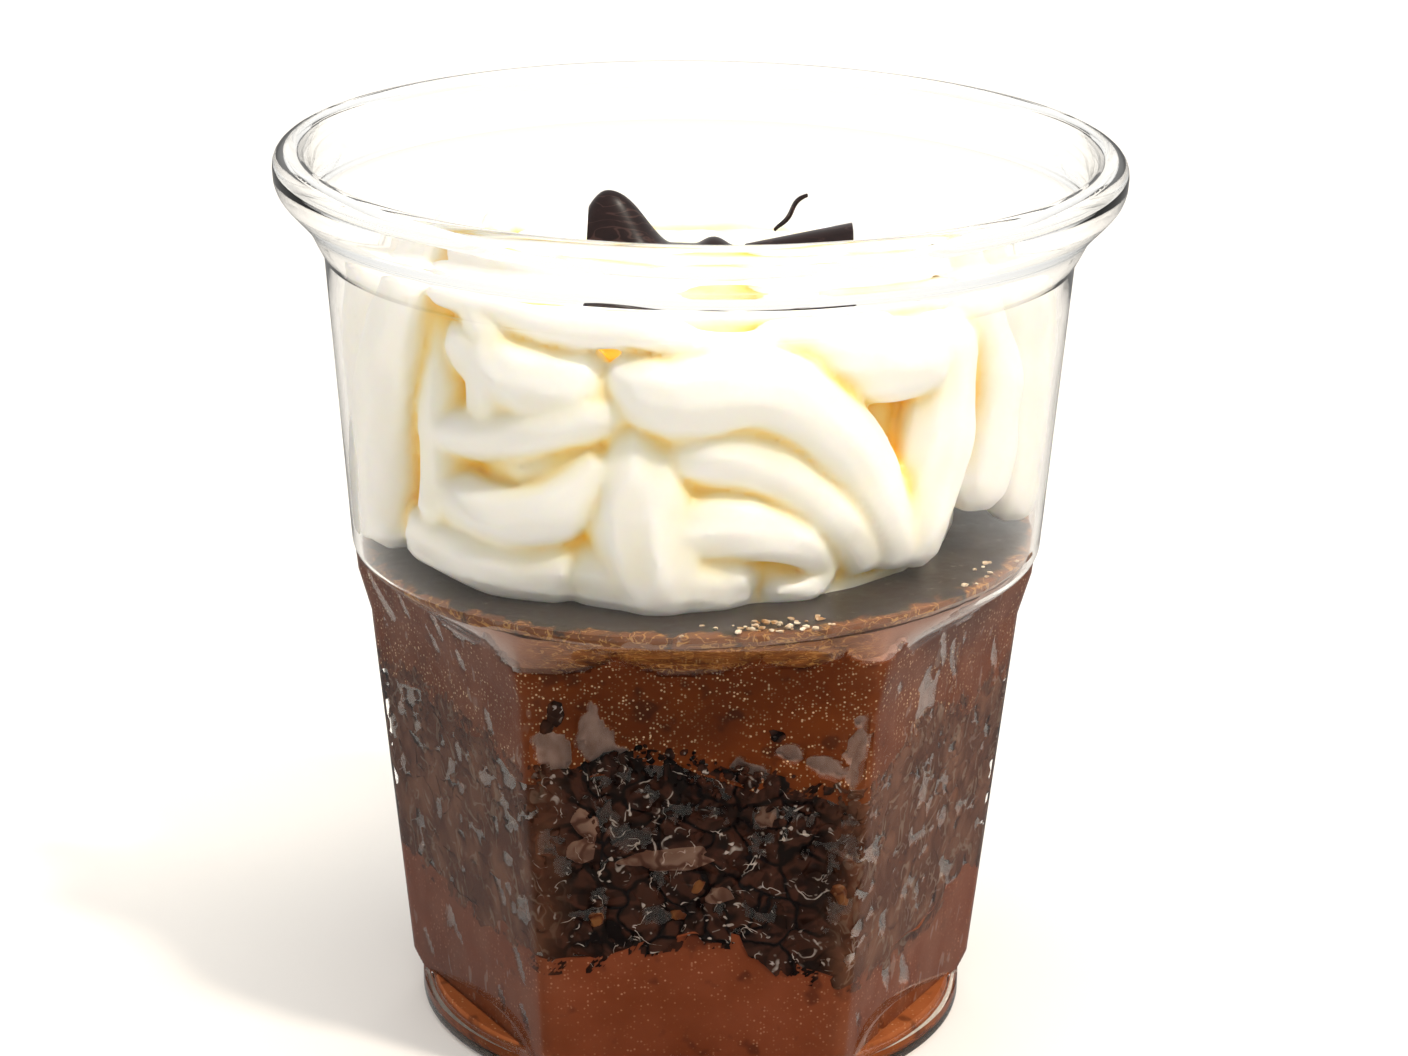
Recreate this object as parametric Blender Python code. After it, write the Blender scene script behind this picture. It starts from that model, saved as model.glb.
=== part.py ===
"""A chocolate mousse dessert in its clear disposable cup.

The cup is a thin-walled moulded tumbler: a round foot ring, a six-sided lower body with flat
facets, a round upper wall that flares into a rolled rim. Inside, from the floor up, lie a
chocolate mousse, a layer of sauced cake pieces, a second mousse, a dark ganache glaze, folds of
whipped cream, and two pieces of dark chocolate pressed into the cream.

Metres, +Z up. The origin is the middle of the foot's underside. The front faces -Y.
"""

import math

import bmesh
import bpy
from mathutils import Vector

MM = 0.001
SIDES = 48  # points round the cup, a multiple of six so that every ridge has one

# The cup, all in millimetres
CUP_HEIGHT = 100.0
RIM_RADIUS = 46.0
BEAD_WIDTH = 4.1
WALL = 0.8
FOOT_RADIUS = 31.0
FOOT_HEIGHT = 3.0
FOOT_EDGE = 1.0
FOOT_WALL = 1.2
FOOT_STAND_WIDTH = 2.4
UNDERSIDE_RECESS = 0.5
FLOOR_TOP = 1.0
HEX_CORNER_AT_TABLE = 31.95
HEX_TAPER = 0.1025
HEX_FLARE = 0.9  # more radius at the top of each ridge
FLARE_BOTTOM = 46.0
CHAMFER_TOP = 4.8
CHAMFER_RADIUS = 32.5
SHELF_BOTTOM = 51.5
SHELF_TOP = 54.6
ROUND_RADIUS = 38.15
ROUND_TAPER = 0.076
FLARE_START = 88.0
FLARE_TOP = 92.8
WALL_LOOPS = (66.0, 77.0)  # extra loops up the plain wall
BEAD_STEPS = 6  # over the top of the rolled rim

# The contents
GAP = 0.3
SIDE_GAP = 0.7  # to the cup, whose facets and the contents' meet at different slants
CAKE_BOTTOM = 15.0
CAKE_TOP = 39.5
GLAZE_BOTTOM = 54.9
GLAZE_TOP = 56.6
GLAZE_SLOPE = 0.026  # it set while the cup stood a little askew, higher at +X

# The whipped cream
CREAM_VOXEL = 0.9
CREAM_KEPT_SHARE = 0.045  # of the faces of the blended mass
CORE_RADIUS = 27.5
CORE_SHOULDER = 76.0
CORE_TOP = 87.0
CORE_FOOT = 50.0  # below the glaze, which the room cuts away
ROOM_TOP = 95.0
BACK_FOLDS = 9
BACK_FROM = 102.0
BED_GAP = 0.39  # all round a piece of chocolate

# The chocolate
CHOCOLATE_LEVEL = 87.6
CHOCOLATE_Y = -2.2  # the middle of both pieces, a little in front of the cup's axis
FLAKE_THICKNESS = 1.2
FLAKE_LEFT = -11.5
FLAKE_LENGTH = 15.6
FLAKE_HALF_DEPTH = 2.6
FLAKE_RIM_RISE = 0.5
PEAK_HEIGHT, PEAK_AT = 5.8, 0.10  # places on the flake are shares of its length from the left
PEAK_LEFT_SPREAD, PEAK_RIGHT_SPREAD = 0.08, 0.26
HUMP_HEIGHT, HUMP_AT, HUMP_SPREAD = 1.1, 0.83, 0.09
ROLL_THICKNESS = 0.9
ROLL_LENGTH = 11.6
ROLL_RADIUS = 2.4
ROLL_NARROWING = 0.3  # less radius at its left end, as a share
ROLL_INNER_SHARE = 0.55  # of the radius at the sheet's inner edge
ROLL_MIDDLE = 10.7
ROLL_LEVEL = 87.75
ROLL_TILT = 0.13
ROLL_LIP = 150.0  # where the outer edge ends, in degrees up from the back over the top
ROLL_TURN = 340.0


def clear_scene():
    for item in list(bpy.data.objects):
        bpy.data.objects.remove(item, do_unlink=True)


def material(name, colour, roughness, alpha=1.0):
    made = bpy.data.materials.new(name)
    made.use_nodes = True
    shader = made.node_tree.nodes["Principled BSDF"]
    shader.inputs["Base Color"].default_value = (*colour, 1.0)
    shader.inputs["Roughness"].default_value = roughness
    shader.inputs["Metallic"].default_value = 0.0
    shader.inputs["Alpha"].default_value = alpha
    made.diffuse_color = (*colour, alpha)
    return made


def finish(name, bm, look, smooth_angle=30.0):
    """Turns a bmesh in millimetres into an object in metres."""
    bmesh.ops.recalc_face_normals(bm, faces=bm.faces)
    bmesh.ops.scale(bm, vec=(MM, MM, MM), verts=bm.verts)
    mesh = bpy.data.meshes.new(name)
    bm.to_mesh(mesh)
    bm.free()
    mesh.shade_smooth()
    mesh.set_sharp_from_angle(angle=math.radians(smooth_angle))
    made = bpy.data.objects.new(name, mesh)
    bpy.context.scene.collection.objects.link(made)
    if look:
        mesh.materials.append(look)
    return made


def angles():
    return [math.tau * i / SIDES for i in range(SIDES)]


def at(angle, radius, height):
    return Vector((radius * math.cos(angle), radius * math.sin(angle), height))


def skin(bm, loops, first_centre, last_centre):
    """Joins closed loops of SIDES points into one closed skin with a fan at each end."""
    rings = [[bm.verts.new(p) for p in loop] for loop in loops]
    for one, other in zip(rings, rings[1:]):
        lower, upper = (one, other) if one[0].co.z < other[0].co.z else (other, one)
        for i in range(SIDES):  # every skin is split the same way, so neighbours lie parallel
            j = (i + 1) % SIDES
            bm.faces.new((lower[i], lower[j], upper[j]))
            bm.faces.new((lower[i], upper[j], upper[i]))
    for ring, centre in ((rings[0], first_centre), (rings[-1], last_centre)):
        hub = bm.verts.new(centre)
        for i in range(SIDES):
            bm.faces.new((ring[i], ring[(i + 1) % SIDES], hub))


# --- The cup's own shape ---------------------------------------------------------------------


def mix(a, b, t):
    return a + (b - a) * min(max(t, 0.0), 1.0)


def hexagon(angle, corner):
    """Radius of a six-sided outline with a corner at +X."""
    from_flat = (angle % (math.pi / 3)) - math.pi / 6
    return corner * math.cos(math.pi / 6) / math.cos(from_flat)


def body_radius(angle, height):
    """Outer radius above the foot: facets, with their lower corners turned off, then round."""
    flare = mix(0.0, HEX_FLARE, (height - FLARE_BOTTOM) / (SHELF_BOTTOM - FLARE_BOTTOM))
    facet = hexagon(angle, HEX_CORNER_AT_TABLE + HEX_TAPER * height + flare)
    rise = (height - FOOT_HEIGHT) / (CHAMFER_TOP - FOOT_HEIGHT)
    if rise < 1:
        facet = min(facet, mix(FOOT_RADIUS, CHAMFER_RADIUS, rise))
    plain = ROUND_RADIUS + ROUND_TAPER * (height - SHELF_TOP)
    return mix(facet, plain, (height - SHELF_BOTTOM) / (SHELF_TOP - SHELF_BOTTOM))


BODY_HEIGHTS = (
    FOOT_HEIGHT, (FOOT_HEIGHT + CHAMFER_TOP) / 2, CHAMFER_TOP, FLARE_BOTTOM,
    SHELF_BOTTOM, SHELF_TOP, *WALL_LOOPS, FLARE_START,
)


def inside_radius(angle, height):
    """Inner radius of the wall as it is built, straight from one of its loops to the next."""
    if height < FOOT_HEIGHT - WALL:
        return FOOT_RADIUS - FOOT_WALL
    for low, high in zip(BODY_HEIGHTS, BODY_HEIGHTS[1:]):
        if height <= high:
            t = (height - low) / (high - low)
            return mix(body_radius(angle, low), body_radius(angle, high), t) - WALL
    return body_radius(angle, height) - WALL


def bead_profile():
    """Radius and height round the rolled rim, from its outer foot over the top to its inner foot."""
    half = BEAD_WIDTH / 2
    middle, top = RIM_RADIUS - half, CUP_HEIGHT - half
    points = [(RIM_RADIUS - 0.4, FLARE_TOP + 1.0), (RIM_RADIUS, FLARE_TOP + 2.2)]
    for step in range(BEAD_STEPS + 1):
        turn = math.pi * step / BEAD_STEPS
        points.append((middle + half * math.cos(turn), top + half * math.sin(turn)))
    return points + [(RIM_RADIUS - BEAD_WIDTH, FLARE_TOP + 2.4)]


def make_cup(look):
    def ring(radius, height):
        return [at(a, radius, height) for a in angles()]

    loops = [
        ring(FOOT_RADIUS - FOOT_EDGE - FOOT_STAND_WIDTH - 0.5, UNDERSIDE_RECESS),
        ring(FOOT_RADIUS - FOOT_EDGE - FOOT_STAND_WIDTH, 0.0),
        ring(FOOT_RADIUS - FOOT_EDGE, 0.0),
        ring(FOOT_RADIUS - 0.3 * FOOT_EDGE, 0.3 * FOOT_EDGE),
        ring(FOOT_RADIUS, FOOT_EDGE),
        ring(FOOT_RADIUS, FOOT_HEIGHT - 0.2),
    ]
    for height in BODY_HEIGHTS:
        loops.append([at(a, body_radius(a, height), height) for a in angles()])
    wall_top = body_radius(0.0, FLARE_START)
    loops.append(ring(wall_top + 1.2, FLARE_START + 2.6))
    loops.append(ring(RIM_RADIUS - 1.7, FLARE_TOP))
    loops += [ring(radius, height) for radius, height in bead_profile()]
    loops.append(ring(wall_top + 0.4, FLARE_START + 2.8))
    for height in reversed(BODY_HEIGHTS[1:]):
        loops.append([at(a, inside_radius(a, height), height) for a in angles()])
    floor_turn = FOOT_HEIGHT - WALL
    loops.append([at(a, inside_radius(a, FOOT_HEIGHT), floor_turn + 0.2) for a in angles()])
    loops.append(ring(FOOT_RADIUS - FOOT_WALL, floor_turn - 0.2))
    loops.append(ring(FOOT_RADIUS - FOOT_WALL, FLOOR_TOP))
    bm = bmesh.new()
    skin(bm, loops, (0, 0, UNDERSIDE_RECESS), (0, 0, FLOOR_TOP))
    return finish("cup", bm, look)


# --- The layers ------------------------------------------------------------------------------


def waves(angle, lumps):
    """Sum of a few waves round the cup. Each lump is (waves in a turn, height in mm, start)."""
    return sum(size * math.sin(count * angle + start) for count, size, start in lumps)


CAKE_BOTTOM_LUMPS = ((1, 1.6, 4.6), (3, 1.5, 0.4), (5, 1.3, 2.6), (8, 0.7, 1.1))
CAKE_TOP_LUMPS = ((2, 0.9, 0.7), (5, 1.0, 3.9), (7, 0.8, 0.2), (11, 0.5, 2.2))


def layer_level(mean, lumps, slope=0.0):
    """Height of an uneven layer surface over the plan of the cup."""

    def level(x, y):
        reach = math.hypot(x, y) / ROUND_RADIUS
        return mean + slope * x + reach * waves(math.atan2(y, x), lumps)

    return level


def make_layer(name, lower, upper, look, floor=False):
    """A closed layer that fills the cup between two uneven surfaces."""

    def wall_point(angle, share, drop, level):
        radius, height = ROUND_RADIUS, 0.0
        for _ in range(6):  # the wall leans, so the radius and the height settle together
            height = level(radius * math.cos(angle), radius * math.sin(angle)) + drop
            radius = (inside_radius(angle, height) - SIDE_GAP) * share
        return at(angle, radius, height)

    half = GAP / 2
    loops = [[wall_point(a, s, half, lower) for a in angles()] for s in (0.4, 0.75, 1.0)]
    if floor:
        settle, in_foot = FOOT_HEIGHT - WALL - GAP, FOOT_RADIUS - FOOT_WALL - SIDE_GAP
        loops.append([at(a, in_foot, settle - 0.2) for a in angles()])
        under_ledge = [min(in_foot, inside_radius(a, FOOT_HEIGHT) - SIDE_GAP) for a in angles()]
        loops.append([at(a, r, settle + 0.2) for a, r in zip(angles(), under_ledge)])
    high_side = [wall_point(a, 1.0, -half, upper) for a in angles()]
    lowest, highest = max(p.z for p in loops[-1]), min(p.z for p in high_side)
    for height in BODY_HEIGHTS:
        if lowest < height < highest:
            loops.append([at(a, inside_radius(a, height) - SIDE_GAP, height) for a in angles()])
    loops.append(high_side)
    loops += [[wall_point(a, s, -half, upper) for a in angles()] for s in (0.75, 0.4)]
    bm = bmesh.new()
    skin(bm, loops, (0, 0, lower(0, 0) + half), (0, 0, upper(0, 0) - half))
    return finish(name, bm, look)


# --- The whipped cream -----------------------------------------------------------------------

# Each fold is a rope of cream laid along a few points: degrees round from the front towards +X,
# distance of its middle from the cup's axis, height of its middle, and half its thickness.
FRONT_FOLDS = {
    "front_bulb": ((-11, 27.0, 75.0, 3.2), (-10, 26.0, 67.0, 7.0), (-9, 25.5, 60.5, 7.0)),
    "front_foot": ((-20, 25.5, 60.0, 6.0), (0, 25.5, 60.5, 6.6), (12, 22.5, 60.0, 5.5)),
    "curled_tongue": (
        (0, 26.5, 66.0, 4.4),
        (13, 27.0, 66.0, 4.4),
        (24, 26.5, 63.6, 3.6),
        (31, 25.0, 60.6, 2.8),
        (27, 25.5, 58.0, 2.4),
        (18, 24.5, 58.2, 2.2),
    ),
    "second_rope": ((-8, 27.0, 73.0, 4.0), (4, 28.2, 74.0, 4.4), (16, 28.3, 72.2, 4.4),
                    (28, 28.3, 67.0, 4.0), (38, 27.5, 61.5, 3.4)),
    "main_rope": ((-12, 27.0, 80.0, 4.2), (-3, 29.0, 79.4, 4.8), (12, 29.5, 80.4, 4.7),
                  (25, 29.5, 76.6, 4.6), (35, 29.0, 70.0, 4.4), (45, 28.2, 61.8, 3.8)),
    "front_crest": ((-54, 31.5, 88.0, 2.4), (-31, 29.0, 86.2, 2.6), (-11, 28.2, 86.3, 2.4),
                    (1, 27.5, 83.8, 2.0), (20, 27.0, 84.6, 2.0), (38, 29.5, 85.6, 2.2)),
    "right_lobe": ((22, 24.5, 82.5, 4.6), (36, 28.0, 82.0, 5.0), (48, 29.5, 81.4, 4.4)),
    "right_drop": ((56, 30.5, 82.0, 4.2), (54, 30.3, 72.0, 4.4), (51, 28.4, 62.0, 4.4)),
    "right_fold": ((64, 32.0, 86.0, 3.2), (69, 33.0, 76.0, 3.8), (70, 31.5, 66.0, 4.2)),
    "right_wall_fold": ((84, 33.5, 84.0, 4.0), (86, 34.0, 72.0, 4.0), (84, 34.2, 60.5, 3.2)),
    "left_peak": ((-52, 31.0, 89.0, 2.0), (-45, 29.0, 84.5, 4.0), (-42, 29.0, 79.0, 4.8),
                  (-45, 29.3, 74.8, 3.6)),
    "left_ridge": ((-36, 28.0, 84.5, 2.6), (-29, 28.3, 80.5, 2.8), (-22, 27.5, 77.0, 3.0)),
    "left_shelf": ((-54, 30.5, 70.8, 3.2), (-38, 30.0, 73.0, 2.8), (-25, 29.0, 75.0, 2.6),
                   (-13, 27.5, 77.0, 2.6)),
    "left_tongue": ((-54, 30.0, 66.0, 4.2), (-40, 30.0, 65.8, 4.0), (-28, 29.2, 68.0, 3.6),
                    (-19, 28.4, 72.0, 3.0)),
    "left_foot": ((-62, 30.5, 60.0, 4.4), (-44, 30.0, 60.2, 4.8), (-30, 28.0, 60.0, 4.6)),
    "left_column": ((-64, 33.0, 87.0, 3.6), (-69, 33.2, 76.0, 4.8), (-74, 33.0, 61.0, 4.6)),
    "left_wall_fold": ((-86, 33.5, 85.0, 4.0), (-88, 33.8, 72.0, 4.4), (-90, 33.2, 60.5, 4.2)),
}
TOP_FOLDS = {
    "top_sweep": ((-44, 25.0, 84.6, 3.4), (-10, 19.0, 85.0, 3.6), (40, 18.0, 84.8, 3.6),
                  (92, 23.0, 83.0, 3.8)),
    "top_left": ((-78, 29.0, 83.4, 3.6), (-95, 20.0, 85.0, 3.6), (-140, 15.0, 85.6, 3.4)),
    "top_back": ((110, 28.0, 80.0, 4.0), (150, 21.0, 83.0, 4.0), (200, 19.0, 83.6, 4.0),
                 (250, 25.0, 81.0, 4.0)),
}


def back_folds():
    """Folds behind the two sides: upright ropes that lean one way and the other in turn."""
    folds = []
    for i in range(BACK_FOLDS):
        middle = BACK_FROM + i * (360 - 2 * BACK_FROM) / (BACK_FOLDS - 1)
        lean = 10 * math.sin(2.1 * i + 0.6)
        farness = math.sin(math.pi * i / (BACK_FOLDS - 1))
        top = 82.5 - 4.5 * farness + 1.5 * math.sin(1.7 * i)
        folds.append((
            (middle + lean, 30.5 + 1.2 * math.cos(2.6 * i), top, 4.4),
            (middle, 32.0, 71.5 + 1.5 * math.cos(i), 5.2),
            (middle - lean, 31.0, 61.0, 5.0),
        ))
    return folds


def smooth_path(points, steps):
    """A Catmull-Rom curve through the points, each a Vector of place and a half thickness."""
    ends = [points[0]] + list(points) + [points[-1]]
    path = []
    for a, b, c, d in zip(ends, ends[1:], ends[2:], ends[3:]):
        for step in range(steps):
            t = step / steps
            path.append(0.5 * ((2 * b) + (c - a) * t + (2 * a - 5 * b + 4 * c - d) * t * t
                               + (3 * b - a - 3 * c + d) * t ** 3))
    return path + [points[-1]]


def lay_rope(bm, fold):
    """Adds one rope of cream as a row of overlapping balls."""
    places = []
    for degrees, radius, height, half in fold:
        turn = math.radians(degrees) - math.pi / 2
        places.append(Vector((radius * math.cos(turn), radius * math.sin(turn), height, half)))
    for spot in smooth_path(places, 5):
        ball = bmesh.ops.create_icosphere(bm, subdivisions=2, radius=spot[3])
        bmesh.ops.translate(bm, vec=spot.xyz, verts=ball["verts"])


def make_cream(look, room, beds):
    bm = bmesh.new()
    core = [(CORE_RADIUS, CORE_FOOT), (CORE_RADIUS, CORE_SHOULDER)]
    for step in range(1, 6):
        turn = math.pi / 2 * step / 6
        rise = (CORE_TOP - CORE_SHOULDER) * math.sin(turn)
        core.append((CORE_RADIUS * math.cos(turn) ** 0.6, CORE_SHOULDER + rise))
    loops = [[at(a, r, z) for a in angles()] for r, z in core]
    skin(bm, loops, (0, 0, CORE_FOOT), (0, 0, CORE_TOP))
    for fold in [*FRONT_FOLDS.values(), *TOP_FOLDS.values(), *back_folds()]:
        lay_rope(bm, fold)
    cream = finish("whipped_cream", bm, look, 180.0)
    blend = cream.modifiers.new("one_mass", "REMESH")
    blend.mode = "VOXEL"
    blend.voxel_size = CREAM_VOXEL * MM
    soften = cream.modifiers.new("soften", "SMOOTH")
    soften.factor = 0.5
    soften.iterations = 3
    thin = cream.modifiers.new("fewer_faces", "DECIMATE")
    thin.ratio = CREAM_KEPT_SHARE
    inside = cream.modifiers.new("inside_cup", "BOOLEAN")
    inside.operation = "INTERSECT"
    inside.object = room
    inside.solver = "MANIFOLD"
    for bed in beds:
        cut = cream.modifiers.new(bed.name, "BOOLEAN")
        cut.operation = "DIFFERENCE"
        cut.object = bed
        cut.solver = "MANIFOLD"
    return cream


def as_cutter(made):
    made.hide_render = True
    made.display_type = "WIRE"
    return made


# --- The chocolate ---------------------------------------------------------------------------


def sheet(name, place, columns, rows, thickness, look):
    """A thin bent piece of chocolate: a grid bent by place(u, v), given its thickness."""
    bm = bmesh.new()
    grid = [[bm.verts.new(place(i / columns, j / rows)) for j in range(rows + 1)]
            for i in range(columns + 1)]
    for i in range(columns):
        for j in range(rows):
            bm.faces.new((grid[i][j], grid[i + 1][j], grid[i + 1][j + 1], grid[i][j + 1]))
    made = finish(name, bm, look, 40.0)
    wall = made.modifiers.new("thickness", "SOLIDIFY")
    wall.thickness = thickness * MM
    wall.offset = 0.0
    made.modifiers.new("flat_faces", "TRIANGULATE")
    return made


def flake_place(u, v):
    """A leaf folded like a tent: a tall peak at the left that runs out in a low hump."""
    spread = PEAK_LEFT_SPREAD if u < PEAK_AT else PEAK_RIGHT_SPREAD
    peak = PEAK_HEIGHT * math.exp(-(((u - PEAK_AT) / spread) ** 2))
    hump = HUMP_HEIGHT * math.exp(-(((u - HUMP_AT) / HUMP_SPREAD) ** 2))
    side = 2 * v - 1
    return (
        FLAKE_LEFT + FLAKE_LENGTH * u + 0.7 * side * (1 - u),
        CHOCOLATE_Y + side * (FLAKE_HALF_DEPTH + math.sin(math.pi * u)) - u,
        CHOCOLATE_LEVEL + (peak + hump + FLAKE_RIM_RISE) * (1 - abs(side) ** 1.7),
    )


def roll_place(u, v):
    """A shaving rolled up into a scroll, with its outer edge lying over its front."""
    turn = math.radians(ROLL_LIP - ROLL_TURN * (1 - v))
    winding = ROLL_INNER_SHARE + (1 - ROLL_INNER_SHARE) * v
    reach = ROLL_RADIUS * winding * (1 - ROLL_NARROWING * (1 - u))
    along = ROLL_LENGTH * (u - 0.5)
    return (
        ROLL_MIDDLE + along,
        CHOCOLATE_Y + reach * math.cos(turn) + 0.1 * along,
        ROLL_LEVEL + reach * math.sin(turn) + ROLL_TILT * along,
    )


def make_bed(piece):
    """The hollow that a piece of chocolate has pressed into the cream, a gap wider all round."""
    shape = piece.evaluated_get(bpy.context.evaluated_depsgraph_get()).to_mesh()
    bm = bmesh.new()
    for vertex in shape.vertices:
        bm.verts.new(vertex.co)
    bmesh.ops.convex_hull(bm, input=bm.verts)
    bmesh.ops.delete(bm, geom=[v for v in bm.verts if not v.link_faces], context="VERTS")
    bmesh.ops.recalc_face_normals(bm, faces=bm.faces)
    moves = [(v, v.normal.copy()) for v in bm.verts]
    for vert, normal in moves:
        vert.co += normal * BED_GAP * MM
    bmesh.ops.scale(bm, vec=(1 / MM, 1 / MM, 1 / MM), verts=bm.verts)
    return as_cutter(finish(piece.name + "_bed", bm, None))


# --- Putting it together ---------------------------------------------------------------------


def main():
    clear_scene()
    plastic = material("clear_plastic", (0.93, 0.93, 0.91), 0.05, 0.25)
    lower_mousse = material("milk_chocolate_mousse", (0.18, 0.055, 0.025), 0.5)
    cake = material("sauced_chocolate_cake", (0.02, 0.009, 0.006), 0.3)
    upper_mousse = material("dark_chocolate_mousse", (0.11, 0.024, 0.006), 0.5)
    ganache = material("dark_ganache", (0.065, 0.045, 0.034), 0.35)
    cream = material("whipped_cream", (0.95, 0.88, 0.70), 0.45)
    chocolate = material("dark_chocolate", (0.012, 0.006, 0.006), 0.3)

    make_cup(plastic)
    cake_bottom = layer_level(CAKE_BOTTOM, CAKE_BOTTOM_LUMPS)
    cake_top = layer_level(CAKE_TOP, CAKE_TOP_LUMPS)
    glaze_bottom = layer_level(GLAZE_BOTTOM, (), GLAZE_SLOPE)
    glaze_top = layer_level(GLAZE_TOP, (), GLAZE_SLOPE)
    floor = layer_level(FLOOR_TOP + GAP / 2, ())
    make_layer("bottom_mousse", floor, cake_bottom, lower_mousse, floor=True)
    make_layer("cake_layer", cake_bottom, cake_top, cake)
    make_layer("top_mousse", cake_top, glaze_bottom, upper_mousse)
    make_layer("dark_glaze", glaze_bottom, glaze_top, ganache)
    flake = sheet("chocolate_flake", flake_place, 14, 6, FLAKE_THICKNESS, chocolate)
    roll = sheet("chocolate_roll", roll_place, 5, 18, ROLL_THICKNESS, chocolate)
    bpy.context.view_layer.update()
    beds = [make_bed(flake), make_bed(roll)]
    room = as_cutter(make_layer("cream_room", glaze_top, layer_level(ROOM_TOP, ()), None))
    make_cream(cream, room, beds)


main()
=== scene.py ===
"""A chocolate mousse dessert in its clear disposable cup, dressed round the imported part."""

import math
import random

import bmesh
import bpy
import numpy as np
from mathutils import Matrix, Vector, noise


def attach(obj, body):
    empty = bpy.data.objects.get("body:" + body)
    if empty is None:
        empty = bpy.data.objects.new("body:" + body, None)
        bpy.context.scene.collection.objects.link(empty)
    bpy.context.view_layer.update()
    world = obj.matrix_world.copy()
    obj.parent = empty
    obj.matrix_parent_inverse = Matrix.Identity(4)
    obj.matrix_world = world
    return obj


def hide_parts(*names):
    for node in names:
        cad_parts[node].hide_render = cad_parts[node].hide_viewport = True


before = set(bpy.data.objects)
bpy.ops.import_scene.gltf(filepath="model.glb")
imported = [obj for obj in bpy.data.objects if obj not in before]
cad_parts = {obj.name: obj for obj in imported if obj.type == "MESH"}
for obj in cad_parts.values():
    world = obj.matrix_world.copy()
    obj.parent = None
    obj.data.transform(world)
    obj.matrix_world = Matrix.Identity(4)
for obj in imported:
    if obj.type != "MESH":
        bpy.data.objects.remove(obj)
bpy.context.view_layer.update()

# --- The table and the light -----------------------------------------------------------------
# A matt white table top in a white studio. One lamp stands high at the right, a little in
# front, and the room itself is bright all round and above, but dark low down in front.

MM = 0.001
VIEW_DISTANCE = 391.0
VIEW_RISE = math.radians(18.4)
VIEW_TURN = math.radians(-1.2)
VIEW_LEAN = math.radians(0.78)
AIM = Vector((0.87, 0.0, 55.7))
ROOM_LIGHT = 1.28


def colour(text):
    """An sRGB hex colour as linear red, green, blue and a full alpha."""
    parts = [int(text[i:i + 2], 16) / 255 for i in (0, 2, 4)]
    return (*[c / 12.92 if c <= 0.04045 else ((c + 0.055) / 1.055) ** 2.4 for c in parts], 1.0)


def node(tree, kind, settings=None, **links):
    """Adds a node. Settings go on the node or its inputs. Links come from other sockets, or
    are plain values."""
    made = tree.nodes.new(kind)
    for name, value in (settings or {}).items():
        if isinstance(name, str) and hasattr(made, name):
            setattr(made, name, value)
        else:
            made.inputs[name].default_value = value
    for name, source in links.items():
        key = int(name[1:]) if name[1:].isdigit() else name.replace("_", " ")
        if isinstance(source, bpy.types.NodeSocket):
            tree.links.new(source, made.inputs[key])
        else:
            made.inputs[key].default_value = source
    return made


def finish_named(name, settings):
    """A Principled material with its plain sockets set. Returns it, its tree and its shader."""
    made = bpy.data.materials.new(name)
    made.use_nodes = True
    shader = made.node_tree.nodes["Principled BSDF"]
    for socket, value in settings.items():
        shader.inputs[socket].default_value = value
    return made, made.node_tree, shader


camera = bpy.data.objects.new("camera", bpy.data.cameras.new("camera"))
bpy.context.scene.collection.objects.link(camera)
bpy.context.scene.camera = camera
camera.data.sensor_width = 36.0
camera.data.lens = 36.0 * 3500 / 1408
camera.data.clip_start = 0.02
back = Vector((0.0, -math.cos(VIEW_RISE), math.sin(VIEW_RISE)))
place = AIM + back * VIEW_DISTANCE
camera.matrix_world = (
    Matrix.Rotation(VIEW_TURN, 4, "Z") @ Matrix.Translation(place * MM)
    @ back.to_track_quat("Z", "Y").to_matrix().to_4x4() @ Matrix.Rotation(VIEW_LEAN, 4, "Z")
)

scene = bpy.context.scene
scene.view_settings.view_transform = "Standard"
world = bpy.data.worlds.new("studio")
scene.world = world
world.use_nodes = True
tree = world.node_tree
tree.nodes.clear()
ray = node(tree, "ShaderNodeLightPath")
toward = node(tree, "ShaderNodeTexCoord")
way = node(tree, "ShaderNodeSeparateXYZ", Vector=toward.outputs["Generated"])
low = node(tree, "ShaderNodeMapRange", {"From Min": 0.30, "From Max": 0.02},
           Value=way.outputs["Z"]).outputs[0]
ahead = node(tree, "ShaderNodeMapRange",
             {"From Min": -0.10, "From Max": 0.40, "To Min": 0.02, "To Max": 0.28},
             Value=way.outputs["Y"]).outputs[0]
gleam = node(tree, "ShaderNodeMapRange", {"To Min": 0.2, "To Max": 1.0},
             Value=ray.outputs["Is Glossy Ray"])
low = node(tree, "ShaderNodeMath", {"operation": "MULTIPLY"}, _0=low, _1=gleam.outputs[0])
room = node(tree, "ShaderNodeMix", {"data_type": "FLOAT", 2: ROOM_LIGHT}, _0=low.outputs[0],
            _3=ahead)
# What is seen straight through the cup is the bare white backdrop. Light that has already
# lit the food reaches it past the cup's clear wall, so it isn't counted again through it.
once = node(tree, "ShaderNodeMath", {"operation": "LESS_THAN", 1: 0.5},
            _0=ray.outputs["Diffuse Depth"])
clear = node(tree, "ShaderNodeMath", {"operation": "MULTIPLY", 1: 1.1}, _0=once.outputs[0])
room = node(tree, "ShaderNodeMix", {"data_type": "FLOAT"}, _0=ray.outputs["Is Transmission Ray"],
            _2=room.outputs[0], _3=clear.outputs[0])
seen = node(tree, "ShaderNodeMix", {"data_type": "FLOAT", 3: 1.1},
            _0=ray.outputs["Is Camera Ray"], _2=room.outputs[0])
glow = node(tree, "ShaderNodeBackground", {"Color": colour("fffefb")},
            Strength=seen.outputs[0])
node(tree, "ShaderNodeOutputWorld", Surface=glow.outputs[0])

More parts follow.
